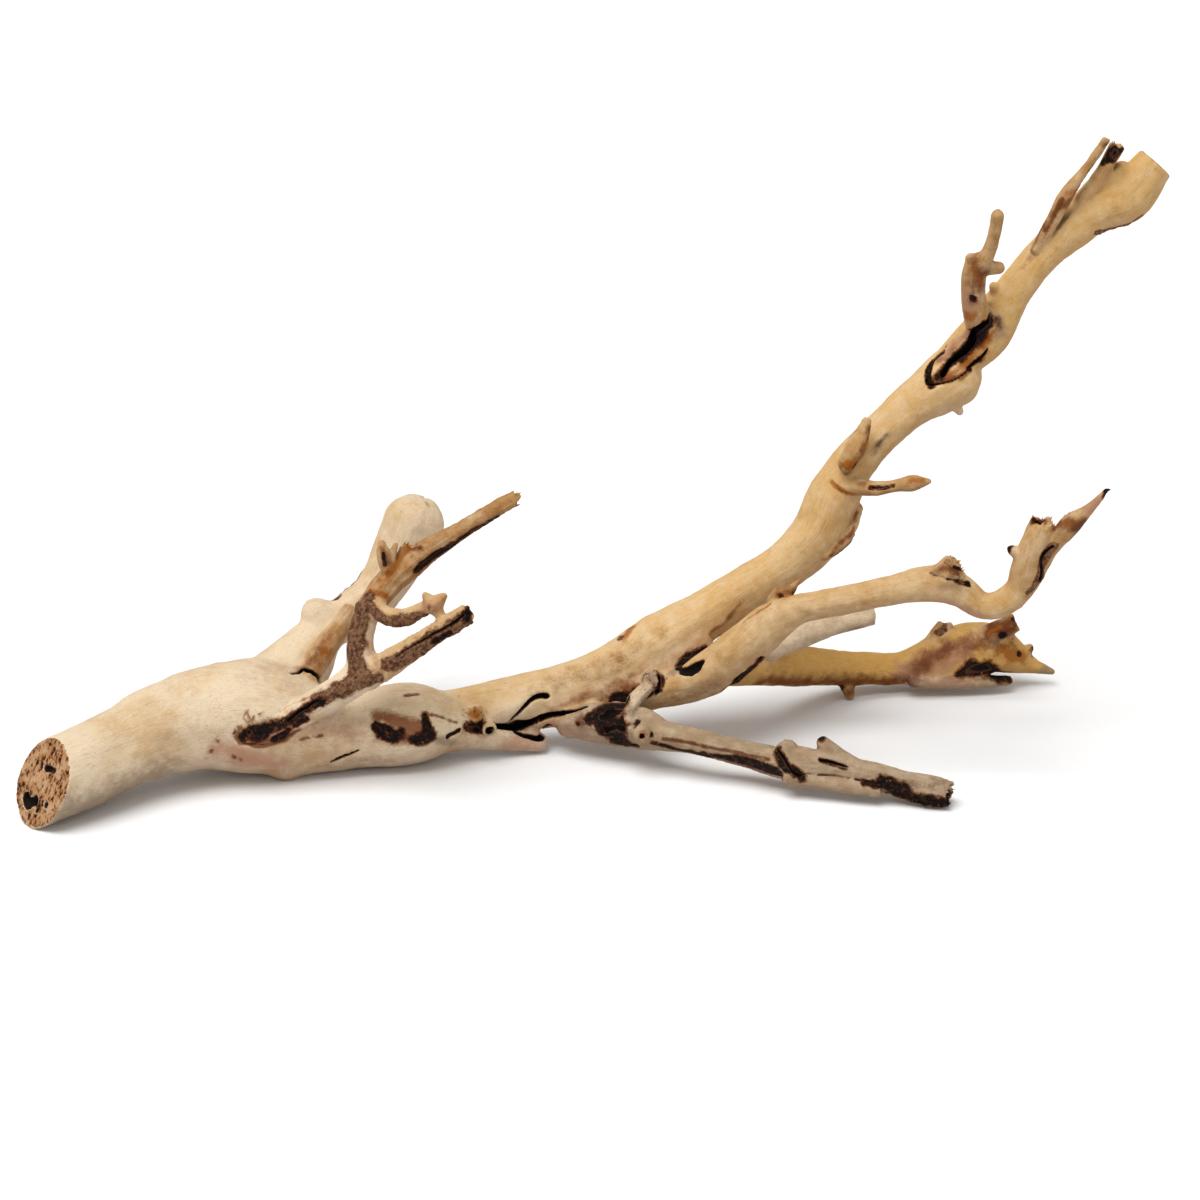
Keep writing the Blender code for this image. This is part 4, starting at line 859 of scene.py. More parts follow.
class WoodField:
    """A distance field on a grid of voxels, negative inside the wood."""

    REACH = 9.0
    FLOOR = -0.12
    ROUGH_SHELL = 3.5
    RIDGE_RUN = 38.0
    RIDGE_RING = 1.7
    OVAL_RUN = 60.0
    TEAR_SIZE = 2.8
    LUMP_SIZE, LUMP_HEIGHT = 17.0, 0.75
    GRIT_SIZE, GRIT_HEIGHT = 4.5, 0.35
    BARK_THICKNESS = 0.9
    ROT_DEPTH = 0.7
    COVER_START, COVER_FADE = 0.44, 0.2
    PLATE_SIZE = 5.0
    EDGE_BLEND = 0.8
    RIM_BLEND = 2.0
    MARGIN = 3.0
    WANDER_SIZE = 7.0
    PIT_SIZE = 3.5
    SPLIT_STEP = 2.0

    def __init__(self, sweeps: Sequence[Sweep], voxel: float) -> None:
        """Lay the grid round all the limbs."""
        self.voxel = voxel
        low = np.min([(s.centre - s.radius[:, None]).min(0) for s in sweeps], axis=0) - self.REACH
        high = np.max([(s.centre + s.radius[:, None]).max(0) for s in sweeps], axis=0) + self.REACH
        self.origin = low
        self.shape = tuple(int(n) for n in np.ceil((high - low) / voxel) + 1)
        self.values = np.full(self.shape, self.REACH, np.float32)
        self.whole = self.values
        self.ridge_noise = LatticeNoise(11)
        self.lump_noise = LatticeNoise(12)

    def window(self, low: Array, high: Array) -> Box:
        """Slices of the grid that hold the box between two corners."""
        first = np.clip(np.floor((low - self.origin) / self.voxel).astype(int), 0, self.shape)
        last = np.clip(np.ceil((high - self.origin) / self.voxel).astype(int) + 1, first, self.shape)
        return tuple(slice(int(a), int(b)) for a, b in zip(first, last))

    def axes(self, box: Box) -> tuple[Array, Array, Array]:
        """Broadcastable coordinates of the voxels in a box."""
        lines = [(self.origin[i] + self.voxel * np.arange(part.start, part.stop)).astype(np.float32)
                 for i, part in enumerate(box)]
        return lines[0][:, None, None], lines[1][None, :, None], lines[2][None, None, :]

    def places(self, box: Box, mask: Array) -> Array:
        """Places of the chosen voxels of a box, as rows of three."""
        index = np.argwhere(mask) + [part.start for part in box]
        return (self.origin + self.voxel * index).astype(np.float32)

    def grow(self, sweep: Sweep) -> None:
        """Grow one limb into the field.

        Args:
            sweep: the limb's centreline.
        """
        reach = sweep.radius.max() + self.REACH
        box = self.window(sweep.centre.min(0) - reach, sweep.centre.max(0) + reach)
        reading = Reading.blank(tuple(part.stop - part.start for part in box), self.REACH)
        for index in range(len(sweep.tangent)):
            ends = sweep.centre[index:index + 2]
            spread = sweep.radius[index:index + 2].max() + self.REACH
            part = self.window(ends.min(0) - spread, ends.max(0) + spread)
            local = tuple(slice(p.start - b.start, p.stop - b.start) for p, b in zip(part, box))
            reading.keep_nearer(local, sweep.read_piece(index, *self.axes(part)))
        mask = reading.distance < self.REACH
        shaped = self.shaped(sweep, reading.chosen(mask))
        if sweep.limb.saw:
            beyond = (self.places(box, mask) - sweep.limb.saw.point) @ np.array(sweep.limb.saw.outward)
            shaped = self.soft_max(shaped, beyond.astype(np.float32), self.EDGE_BLEND)
        target = self.values[box]
        target[mask] = self.soft_min(target[mask], shaped, sweep.limb.blend)

    def shaped(self, sweep: Sweep, reading: Reading) -> Array:
        """Give a tube its ridges, flutes and oval section, and tear its broken end.

        Args:
            sweep: the limb's centreline.
            reading: the tube's plain distance and coordinates.

        Returns:
            The shaped distance.
        """
        limb = sweep.limb
        away = np.maximum(np.hypot(reading.side, reading.over), 1e-4)
        cosine = reading.side / away
        sine = reading.over / away
        key = 3.7 * len(sweep.name) + 11.0 * (sweep.radius[0] % 1.3)
        turn = reading.along / self.OVAL_RUN + key
        ringed = np.stack((self.RIDGE_RING * cosine, self.RIDGE_RING * sine,
                           reading.along / self.RIDGE_RUN + key), axis=1)
        ridges = self.ridge_noise.fractal(ringed, 1.0, 3, 0.6)
        oval = (cosine ** 2 - sine ** 2) * np.cos(turn) + 2.0 * cosine * sine * np.sin(turn)
        grown = 1.6 * limb.ridges * ridges + limb.oval * oval
        if limb.flutes > 0.0:
            grooves = np.abs(self.lump_noise.fractal(ringed * (2.2, 2.2, 0.7), 1.0, 2, 0.5))
            grown = grown + limb.flutes * (2.0 * np.minimum(grooves * 4.0, 1.0) - 1.5)
        shaped = reading.distance - reading.radius * grown
        if limb.torn > 0.0:
            fibres = np.stack((reading.side, reading.over, np.full_like(reading.side, key)), axis=1)
            tear = 0.5 + 0.9 * self.lump_noise.fractal(fibres, self.TEAR_SIZE, 2, 0.7)
            shaped = np.maximum(shaped, reading.along - sweep.along[-1] + limb.torn * tear)
        return shaped

    @staticmethod
    def soft_min(first: Array, second: Array, blend: float) -> Array:
        """Join two distances, rounding the corner between them over a blend width."""
        mix = np.maximum(blend - np.abs(first - second), 0.0) / blend
        return np.minimum(first, second) - mix * mix * blend * 0.25

    @staticmethod
    def soft_max(first: Array, second: Array, blend: float) -> Array:
        """Cut one distance by another, rounding the edge over a blend width."""
        mix = np.maximum(blend - np.abs(first - second), 0.0) / blend
        return np.maximum(first, second) + mix * mix * blend * 0.25

    def sample(self, values: Array, points: Array) -> Array:
        """Read a grid at some points, linear between voxels.

        Args:
            values: the grid.
            points: places, as rows of three.

        Returns:
            One value for each point.
        """
        scaled = np.clip((points - self.origin) / self.voxel, 0.0, np.array(self.shape) - 1.001)
        low = scaled.astype(int)
        part = (scaled - low).astype(np.float32)
        total = np.zeros(len(points), np.float32)
        for corner in np.ndindex(2, 2, 2):
            weight = np.prod(np.where(corner, part, 1.0 - part), axis=1)
            total += weight * values[tuple((low + corner).T)]
        return total

    def outward(self, values: Array, points: Array, step: float = 1.2) -> Array:
        """Unit directions in which a grid's values grow fastest at some points."""
        found = np.stack([
            self.sample(values, points + axis * step) - self.sample(values, points - axis * step)
            for axis in np.eye(3)
        ], axis=1)
        return found / np.maximum(np.linalg.norm(found, axis=1, keepdims=True), 1e-6)

    def settled(self, rows: Array, limit: float) -> Array:
        """Move places onto the surface.

        Args:
            rows: x, y, z and a size for each place.
            limit: the farthest that each of three steps may go.

        Returns:
            The moved rows.
        """
        rows = rows.copy()
        for _ in range(3):
            off = np.clip(self.sample(self.values, rows[:, :3]), -limit, limit)
            rows[:, :3] -= self.outward(self.values, rows[:, :3]) * off[:, None]
        return rows

    def roughen(self, stains: MarkMap) -> None:
        """Give the surface the unevenness of blasted wood, and lay on the bark that is left.

        Args:
            stains: where the bark and the rot lie.
        """
        box = tuple(slice(0, size) for size in self.shape)
        mask = np.abs(self.values) < self.ROUGH_SHELL
        points = self.places(box, mask)
        raised = self.LUMP_HEIGHT * self.lump_noise.fractal(points, self.LUMP_SIZE, 2)
        raised = raised + self.GRIT_HEIGHT * self.ridge_noise.fractal(points, self.GRIT_SIZE, 3)
        for mark, thickness in ((Mark.BARK, self.BARK_THICKNESS), (Mark.CHAR, -self.ROT_DEPTH)):
            cover = stains.strength(mark, points)
            covered = np.flatnonzero(cover > self.COVER_START)
            plates = 1.0 - np.abs(self.lump_noise.fractal(points[covered], self.PLATE_SIZE, 2)) * 3.0
            edge = np.clip((cover[covered] - self.COVER_START) / self.COVER_FADE, 0.0, 1.0)
            raised[covered] -= thickness * edge * (0.5 + 0.5 * plates)
        self.values[mask] += raised
        z = self.axes(box)[2]
        np.maximum(self.values, self.FLOOR - z, out=self.values)

    def keep_whole(self) -> None:
        """Remember the wood as it is before anything is taken out."""
        self.whole = self.values.copy()

    def hollow_out(self, hollow: Hollow) -> None:
        """Take out a hollow, and raise its rim first.

        Args:
            hollow: the places that are taken out.
        """
        line = np.array(hollow.line)
        reach = line[:, 3].max() + hollow.rim + self.MARGIN
        box = self.window(line[:, :3].min(0) - reach, line[:, :3].max(0) + reach)
        target = self.values[box]
        points = self.places(box, np.ones(target.shape, bool))
        inside = reach_into(hollow.line, points)
        inside += hollow.rough * line[:, 3].mean() * self.lump_noise.fractal(points, self.PIT_SIZE, 2)
        inside = inside.reshape(target.shape)
        if hollow.rim > 0.0:
            shell = -reach_into(hollow.line[1:], points).reshape(target.shape) - hollow.rim
            target[...] = self.soft_min(target, shell, self.RIM_BLEND)
        target[...] = self.soft_max(target, inside, self.EDGE_BLEND)

    def split(self, split: Split) -> None:
        """Open a crack along its line on the surface.

        Args:
            split: the crack's line and depth.
        """
        rows = Sweep.curve(np.array(split.line, float))
        rows = self.settled(rows, self.SPLIT_STEP)
        place = rows[:, :3]
        inward = -self.outward(self.whole, place, 2.0)
        wander = np.stack([self.lump_noise.fractal(place + 40.0 * axis, self.WANDER_SIZE, 2)
                           for axis in range(3)], axis=1)
        place = place + wander * (0.2 + 0.3 * rows[:, 3:])
        for start, end, into, half, half_end in zip(place, place[1:], inward, rows[:, 3], rows[1:, 3]):
            run = end - start
            length = float(np.linalg.norm(run))
            if length < 1e-3:
                continue
            run = run / length
            into = into - run * (into @ run)
            into = into / max(float(np.linalg.norm(into)), 1e-6)
            aside = np.cross(run, into)
            reach = split.depth + self.MARGIN
            box = self.window(np.minimum(start, end) - reach, np.maximum(start, end) + reach)
            x, y, z = self.axes(box)
            x, y, z = x - start[0], y - start[1], z - start[2]
            along = x * run[0] + y * run[1] + z * run[2]
            side = x * aside[0] + y * aside[1] + z * aside[2]
            deep = x * into[0] + y * into[1] + z * into[2]
            held = np.clip(along, 0.0, length)
            width = half + (half_end - half) * held / length
            narrowed = width * (1.0 - np.clip(deep, 0.0, None) / split.depth)
            opened = np.minimum(narrowed - np.abs(side), deep + self.MARGIN) - np.abs(along - held)
            target = self.values[box]
            np.maximum(target, opened, out=target)


EDGE_NOISE = LatticeNoise(21)
WARP_NOISE = LatticeNoise(22)


class MarkMap:
    """Where each mark lies on the wood."""

    STRAY = 3.0
    BEND_SIZE = 5.0
    EDGE_SIZE = 3.0

    def __init__(self, wood: WoodField) -> None:
        """Draw every stain's line smoothly along the surface of the wood."""
        spots = [MarkPatch(mark, (row[:4],), row[4]) for mark, rows in SPOTS.items() for row in rows]
        self.lines = [(stain, wood.settled(Sweep.curve(np.array(stain.line, float)), self.STRAY))
                      for stain in (*STAINS_AND_SHADOWS, *spots)]

    def strength(self, mark: Mark, points: Array) -> Array:
        """Strength of one mark at some points: over 0.5 in its ragged patches, fading over their reach.

        Args:
            mark: the mark.
            points: places, as rows of three.

        Returns:
            One value between 0 and 1 for each point.
        """
        total = np.zeros(len(points), np.float32)
        for stain, line in self.lines:
            if stain.mark is not mark:
                continue
            size = float(line[:, 3].mean())
            reach = 2.0 * line[:, 3].max() + 2.0
            near = np.flatnonzero(np.all((points > line[:, :3].min(0) - reach)
                                         & (points < line[:, :3].max(0) + reach), axis=1))
            if not len(near):
                continue
            local = points[near]
            bend = np.stack([WARP_NOISE.at(local + 31.0 * axis, self.BEND_SIZE) for axis in range(3)], axis=1)
            inside = reach_into(line, local + bend * min(0.4 * size, 1.8))
            ragged = EDGE_NOISE.fractal(local, self.EDGE_SIZE, 3, 0.6)
            shape = 0.55 + 0.5 * inside / size + 0.3 * ragged
            shape *= np.clip(1.6 + inside / size, 0.0, 1.0)
            total[near] = np.maximum(total[near], np.clip(shape, 0.0, 1.0) * stain.strength)
        return total


class Skin:
    """The surface of a field as a closed mesh, one vertex for each voxel that the surface crosses."""

    def __init__(self, wood: WoodField) -> None:
        """Find the crossed voxels, their vertices and the faces between them."""
        self.wood = wood
        inside = wood.values < 0.0
        self.cells = self.crossed(inside)
        self.number = np.full(inside.shape, -1, np.int32)
        self.number[tuple(self.cells.T)] = np.arange(len(self.cells))
        self.vertices = self.placed()
        self.faces = np.vstack([self.faces_along(inside, axis) for axis in range(3)])

    @staticmethod
    def crossed(inside: Array) -> Array:
        """Voxels with corners both in and out of the wood."""
        count = np.zeros(tuple(size - 1 for size in inside.shape), np.uint8)
        for corner in np.ndindex(2, 2, 2):
            count += inside[tuple(slice(c, c + size) for c, size in zip(corner, count.shape))]
        return np.argwhere((count > 0) & (count < 8))

    def placed(self) -> Array:
        """Put each voxel's vertex at the mean of the crossings of its edges."""
        corners = {c: self.wood.values[tuple((self.cells + c).T)] for c in np.ndindex(2, 2, 2)}
        total = np.zeros((len(self.cells), 3))
        hits = np.zeros(len(self.cells))
        for start, first in corners.items():
            for axis in range(3):
                if start[axis]:
                    continue
                second = corners[tuple(1 if i == axis else start[i] for i in range(3))]
                crosses = (first < 0.0) != (second < 0.0)
                t = np.where(crosses, first / np.where(crosses, first - second, 1.0), 0.0)
                place = np.array(start, float) + t[:, None] * np.eye(3)[axis]
                total += place * crosses[:, None]
                hits += crosses
        return self.wood.origin + self.wood.voxel * (self.cells + total / hits[:, None])

    def faces_along(self, inside: Array, axis: int) -> Array:
        """Make a face round every grid edge of one direction that the surface crosses.

        Args:
            inside: which grid points are in the wood.
            axis: the direction of the edges.

        Returns:
            Rows of four vertex numbers, facing out.
        """
        first = inside[tuple(slice(0, -1) if i == axis else slice(None) for i in range(3))]
        second = inside[tuple(slice(1, None) if i == axis else slice(None) for i in range(3))]
        edges = np.argwhere(first != second)
        leaves = first[tuple(edges.T)]
        one, two = [i for i in range(3) if i != axis]
        corners = []
        for back_one, back_two in ((0, 0), (1, 0), (1, 1), (0, 1)):
            cell = edges.copy()
            cell[:, one] -= back_one
            cell[:, two] -= back_two
            corners.append(self.number[tuple(cell.T)])
        faces = np.stack(corners, axis=1)
        turned = ~leaves if axis != 1 else leaves
        faces[turned] = faces[turned][:, ::-1]
        return faces


def plain_copy(piece: bpy.types.Object) -> bpy.types.Mesh:
    """The mesh of a piece with its modifiers' work in it."""
    seen = piece.evaluated_get(bpy.context.evaluated_depsgraph_get())
    return bpy.data.meshes.new_from_object(seen)


@dataclass
class Branch:
    """The whole branch: its wood as one closed mesh, with the marks on it."""

    voxel: float = 0.85
    triangles: int = 190000
    saw_reach: float = 28.0
    saw_fade: float = 9.0
    saw_facing: float = 0.75
    crevice_gap: float = 3.0
    cut_start: float = 0.5
    cut_fade: float = 1.6
    flake_cover: float = 0.56
    torn_least: float = 1.5
    torn_reach: float = 4.0
    torn_facing: float = 0.5
    seam_reach: float = 8.0
    seam_blend: float = 2.0
    sweeps: list[Sweep] = field(default_factory=lambda: [Sweep(name, limb) for name, limb in LIMBS.items()])

    def build(self) -> bpy.types.Object:
        """Grow, split and hollow the wood, and make its mesh.

        Returns:
            The branch.
        """
        self.wood = WoodField(self.sweeps, self.voxel)
        for sweep in self.sweeps:
            self.wood.grow(sweep)
        log.info("grew %d limbs on a grid of %s", len(self.sweeps), self.wood.shape)
        self.stains = MarkMap(self.wood)
        self.wood.roughen(self.stains)
        self.wood.keep_whole()
        for hollow in HOLLOWS.values():
            self.wood.hollow_out(hollow)
        for split in SPLITS.values():
            self.wood.split(split)
        log.info("opened %d splits and %d hollows", len(SPLITS), len(HOLLOWS))
        piece = self.mesh_of(Skin(self.wood))
        self.thin(piece)
        self.mark(piece.data)
        return piece

    @staticmethod
    def mesh_of(skin: Skin) -> bpy.types.Object:
        """Make the mesh of a skin."""
        data = bpy.data.meshes.new("branch")
        places = (skin.vertices + STATION_ORIGIN) * MM
        data.vertices.add(len(places))
        data.vertices.foreach_set("co", places.astype(np.float32).ravel())
        data.loops.add(skin.faces.size)
        data.loops.foreach_set("vertex_index", skin.faces.astype(np.int32).ravel())
        data.polygons.add(len(skin.faces))
        data.polygons.foreach_set("loop_start", np.arange(0, skin.faces.size, 4, dtype=np.int32))
        data.update(calc_edges=True)
        data.validate()
        piece = bpy.data.objects.new("branch", data)
        bpy.context.scene.collection.objects.link(piece)
        return piece

    def thin(self, piece: bpy.types.Object) -> None:
        """Collapse edges until the mesh has its number of triangles, fewest where it is smooth."""
        have = 2 * len(piece.data.polygons)
        modifier = piece.modifiers.new("thin", "DECIMATE")
        modifier.ratio = min(1.0, self.triangles / have)
        modifier.use_collapse_triangulate = True
        thinned = plain_copy(piece)
        piece.modifiers.clear()
        piece.data = thinned
        piece.data.name = "branch"
        self.drop_crumbs(piece.data)
        piece.data.polygons.foreach_set("use_smooth", np.ones(len(thinned.polygons), bool))

    @staticmethod
    def drop_crumbs(data: bpy.types.Mesh) -> None:
        """Remove every body of a mesh but the largest."""
        shape = bmesh.new()
        shape.from_mesh(data)
        waiting = set(shape.verts)
        bodies = []
        while waiting:
            body = [waiting.pop()]
            for vertex in body:
                for edge in vertex.link_edges:
                    other = edge.other_vert(vertex)
                    if other in waiting:
                        waiting.remove(other)
                        body.append(other)
            bodies.append(body)
        largest = max(bodies, key=len)
        for body in bodies:
            if body is not largest:
                bmesh.ops.delete(shape, geom=body, context="VERTS")
        log.info("kept one body of %d", len(bodies))
        shape.to_mesh(data)
        shape.free()

    def mark(self, data: bpy.types.Mesh) -> None:
        """Store on the mesh what its finish reads: grain, stains, and the depth of cuts, the crevices and the
        faces turned down, where it paints shade.

        Args:
            data: the branch's mesh.
        """
        count = len(data.vertices)
        flat = np.empty(3 * count, np.float32)
        data.vertices.foreach_get("co", flat)
        points = flat.reshape(-1, 3) / MM - STATION_ORIGIN
        data.vertices.foreach_get("normal", flat)
        normals = flat.reshape(-1, 3).copy()
        grain, along, tones, seam = self.read_grain(points)
        depth = -self.wood.sample(self.wood.whole, points)
        open_air = self.wood.sample(self.wood.values, points + self.crevice_gap * normals)
        sawn = np.zeros(count, np.float32)
        for saw in (STEM_SAW, MAST_SAW):
            off = np.abs((points - saw.point) @ np.array(saw.outward))
            far = np.linalg.norm(points - saw.point, axis=1)
            facing = normals @ np.array(saw.outward) > self.saw_facing
            near = np.clip((self.saw_reach - far) / self.saw_fade, 0.0, 1.0)
            face = np.clip(2.0 - off, 0.0, 1.0) * near
            sawn = np.maximum(sawn, np.where(facing, face, 0.0))
        values = {mark.value: self.stains.strength(mark, points) for mark in Mark}
        values["grey"] = np.maximum(values["grey"], tones[:, 1])
        values |= {
            "yellow": tones[:, 0],
            "tawny": tones[:, 2],
            "seam": seam,
            # Painted shade: how deep a split or hollow has cut, for the finish to darken its inside.
            "cut": np.clip((depth - self.cut_start) / self.cut_fade, 0.0, 1.0),
            # Painted shade: how closed in the air is just outside, for the finish to darken the crevices.
            "crevice": np.clip(1.0 - open_air / self.crevice_gap, 0.0, 1.0),
            "sawn": sawn,
            # Painted shade: how far each face is turned down, for the finish to darken.
            "under": np.clip((0.55 - normals[:, 2]) / 1.5, 0.0, 1.0),
        }
        for name, value in values.items():
            layer = data.attributes.new(name, "FLOAT", "POINT")
            layer.data.foreach_set("value", value.astype(np.float32))
        for name, rows in (("grain", grain), ("along", along)):
            layer = data.attributes.new(name, "FLOAT_VECTOR", "POINT")
            layer.data.foreach_set("vector", rows.astype(np.float32).ravel())

    @staticmethod
    def patch(data: bpy.types.Mesh, chosen: Array, name: str) -> bpy.types.Mesh:
        """Copy the chosen faces of the branch, with their marks.

        Args:
            data: the branch's mesh.
            chosen: whether each face is wanted.
            name: the copy's name.

        Returns:
            The copy.
        """
        shape = bmesh.new()
        shape.from_mesh(data)
        shape.faces.ensure_lookup_table()
        unwanted = [shape.faces[i] for i in np.flatnonzero(~chosen)]
        bmesh.ops.delete(shape, geom=unwanted, context="FACES")
        copy = bpy.data.meshes.new(name)
        shape.to_mesh(copy)
        shape.free()
        return copy

    def barked_faces(self, data: bpy.types.Mesh) -> Array:
        """Which faces lie well inside the bark."""
        bark = np.empty(len(data.vertices), np.float32)
        data.attributes["bark"].data.foreach_get("value", bark)
        corners = np.empty(3 * len(data.polygons), np.int32)
        data.polygons.foreach_get("vertices", corners)
        return bark[corners.reshape(-1, 3)].min(axis=1) > self.flake_cover

    def torn_faces(self, data: bpy.types.Mesh) -> Array:
        """Which faces close a torn end."""
        flat = np.empty(3 * len(data.polygons), np.float32)
        data.polygons.foreach_get("center", flat)
        centres = flat.reshape(-1, 3) / MM - STATION_ORIGIN
        data.polygons.foreach_get("normal", flat)
        normals = flat.reshape(-1, 3)
        chosen = np.zeros(len(centres), bool)
        for sweep in self.sweeps:
            if sweep.limb.torn > self.torn_least:
                close = (np.linalg.norm(centres - sweep.centre[-1], axis=1)
                         < sweep.radius[-1] + self.torn_reach)
                chosen |= close & (normals @ sweep.tangent[-1] > self.torn_facing)
        return chosen

    def read_grain(self, points: Array) -> tuple[Array, Array, Array, Array]:
        """Read how the grain runs at some points.

        Args:
            points: places, as rows of three.

        Returns:
            Grain coordinates, the limb's direction, the shares of each tone, and how near a seam between
            limbs is, for each point.
        """
        count = len(points)
        nearest = np.full(count, 1e3, np.float32)
        grain = np.zeros((count, 3), np.float32)
        along = np.zeros((count, 3), np.float32)
        weight = np.full(count, 1e-6)
        top = np.zeros(count)
        tones = np.zeros((count, 3))
        for number, sweep in enumerate(self.sweeps):
            reach = sweep.radius.max() + self.seam_reach
            near = np.flatnonzero(np.all((points > sweep.centre.min(0) - reach)
                                         & (points < sweep.centre.max(0) + reach), axis=1))
            local = points[near]
            reading = Reading.blank((len(near),), 1e3)
            direction = np.zeros((len(near), 3), np.float32)
            for index in range(len(sweep.tangent)):
                found = sweep.read_piece(index, local[:, 0], local[:, 1], local[:, 2])
                direction[found[0] < reading.distance] = sweep.tangent[index]
                reading.keep_nearer(slice(None), found)
            share = np.exp(-np.clip(reading.distance, -30.0, 30.0) / self.seam_blend)
            weight[near] += share
            top[near] = np.maximum(top[near], share)
            tones[near] += share[:, None] * np.array(sweep.limb.tone.value)
            closer = reading.distance < nearest[near]
            chosen = near[closer]
            nearest[chosen] = reading.distance[closer]
            rows = np.stack((reading.along + 37.0 * number, reading.side, reading.over), axis=1)
            grain[chosen] = rows[closer]
            along[chosen] = direction[closer]
        return grain, along, tones / weight[:, None], 1.0 - top / weight


class Bit(Enum):
    """A small repeated shape, by the node that makes it."""

    FLAKE = "GeometryNodeMeshIcoSphere"
    FIBRE = "GeometryNodeMeshCone"


class Nodes:
    """A tree of nodes under construction."""

    tree: bpy.types.NodeTree

    def node(self, kind: str, settings: dict[str, Any], inputs: dict[Any, Any]) -> bpy.types.Node:
        """Add a node.

        Args:
            kind: the node's type.
            settings: its properties, which are set first.
            inputs: a value, a socket or a signal for each of its inputs, by number or name.

        Returns:
            The node.
        """
        node = self.tree.nodes.new(kind)
        for name, value in settings.items():
            setattr(node, name, value)
        for name, value in inputs.items():
            self.feed(node, name, value)
        return node

    def feed(self, node: bpy.types.Node, name: Any, value: Any) -> None:
        """Give a node's input a value, or link a socket or a signal to it."""
        source = value.socket if isinstance(value, Signal) else value
        if isinstance(source, bpy.types.NodeSocket):
            self.tree.links.new(source, node.inputs[name])
        else:
            node.inputs[name].default_value = value


class Plan(Nodes):
    """A Geometry Nodes tree."""

    def __init__(self, name: str, inputs: dict[str, str]) -> None:
        """Start a tree with named inputs.

        Args:
            name: the tree's name.
            inputs: the type of each input, by its name.
        """
        self.tree = bpy.data.node_groups.new(name, "GeometryNodeTree")
        self.sockets = {
            title: self.tree.interface.new_socket(title, in_out="INPUT", socket_type=kind)
            for title, kind in inputs.items()
        }
        self.tree.interface.new_socket("Geometry", in_out="OUTPUT", socket_type="NodeSocketGeometry")
        self.given = self.node("NodeGroupInput", {}, {}).outputs


@dataclass
class Scatter:
    """Small bits of one shape, strewn over a patch of the branch along its grain.

    The density is in bits for each square metre, and the sizes are in millimetres.
    """

    name: str
    bit: Bit
    density: float
    length: float
    width: float
    thickness: float
    seed: int

    INPUTS = {
        "Geometry": "NodeSocketGeometry", "Density": "NodeSocketFloat", "Length": "NodeSocketFloat",
        "Width": "NodeSocketFloat", "Thickness": "NodeSocketFloat", "Seed": "NodeSocketInt",
        "Material": "NodeSocketMaterial",
    }
    TURN = "FunctionNodeAlignRotationToVector"
    LEAN = (0.25, 0.25, 0.25)
    SMALLEST, LARGEST = (0.5, 0.5, 0.5), (1.4, 1.4, 1.4)

    def build(self, patch: bpy.types.Mesh, material: bpy.types.Material) -> bpy.types.Object:
        """Strew the bits over a patch.

        Args:
            patch: the faces that carry them, with the branch's marks.
            material: the bits' finish.

        Returns:
            The bits as one piece.
        """
        piece = bpy.data.objects.new(self.name, patch)
        bpy.context.scene.collection.objects.link(piece)
        plan = self.plan()
        modifier = piece.modifiers.new(self.name, "NODES")
        modifier.node_group = plan.tree
        values = {
            "Density": self.density, "Length": self.length * MM, "Width": self.width * MM,
            "Thickness": self.thickness * MM, "Seed": self.seed, "Material": material,
        }
        for title, value in values.items():
            modifier[plan.sockets[title].identifier] = value
        bits = plain_copy(piece)
        piece.modifiers.clear()
        piece.data = bits
        return piece

    def plan(self) -> Plan:
        """Lay out the nodes: points on the faces, turned along the grain, with a bit on each."""
        plan = Plan(self.name, self.INPUTS)
        given = plan.given
        spots = plan.node("GeometryNodeDistributePointsOnFaces", {},
                          {"Mesh": given["Geometry"], "Density": given["Density"], "Seed": given["Seed"]})
        run = plan.node("GeometryNodeInputNamedAttribute", {"data_type": "FLOAT_VECTOR"}, {"Name": "along"})
        if self.bit is Bit.FLAKE:
            shape = plan.node(self.bit.value, {}, {"Radius": 0.5, "Subdivisions": 1})
            flat = plan.node(self.TURN, {"axis": "Z"}, {"Vector": spots.outputs["Normal"]})
            turned = plan.node(self.TURN, {"axis": "X", "pivot_axis": "Z"},
                               {"Rotation": flat.outputs[0], "Vector": run.outputs[0]})
            order = ("Length", "Width", "Thickness")
        else:
            shape = plan.node(self.bit.value, {}, {"Vertices": 6, "Radius Bottom": 0.5, "Depth": 1.0})
            lean = plan.node("ShaderNodeVectorMath", {"operation": "MULTIPLY_ADD"},
                             {0: spots.outputs["Normal"], 1: self.LEAN, 2: run.outputs[0]})
            turned = plan.node(self.TURN, {"axis": "Z"}, {"Vector": lean.outputs[0]})
            order = ("Thickness", "Width", "Length")
        size = plan.node("ShaderNodeCombineXYZ", {}, {i: given[title] for i, title in enumerate(order)})
        chance = plan.node("FunctionNodeRandomValue", {"data_type": "FLOAT_VECTOR"},
                           {0: self.SMALLEST, 1: self.LARGEST, "Seed": given["Seed"]})
        scale = plan.node("ShaderNodeVectorMath", {"operation": "MULTIPLY"},
                          {0: size.outputs[0], 1: chance.outputs[0]})
        laid = plan.node("GeometryNodeInstanceOnPoints", {}, {
            "Points": spots.outputs["Points"], "Instance": shape.outputs["Mesh"],
            "Rotation": turned.outputs[0], "Scale": scale.outputs[0],
        })
        whole = plan.node("GeometryNodeRealizeInstances", {}, {"Geometry": laid.outputs[0]})
        dressed = plan.node("GeometryNodeSetMaterial", {},
                            {"Geometry": whole.outputs[0], "Material": given["Material"]})
        plan.node("NodeGroupOutput", {}, {"Geometry": dressed.outputs[0]})
        return plan


def paint(red: int, green: int, blue: int) -> tuple[float, float, float, float]:
    """A colour as the shader wants it, from its red, green and blue of 0 to 255."""
    shares = [value / 255.0 for value in (red, green, blue)]
    linear = [share / 12.92 if share <= 0.04045 else ((share + 0.055) / 1.055) ** 2.4 for share in shares]
    return (linear[0], linear[1], linear[2], 1.0)


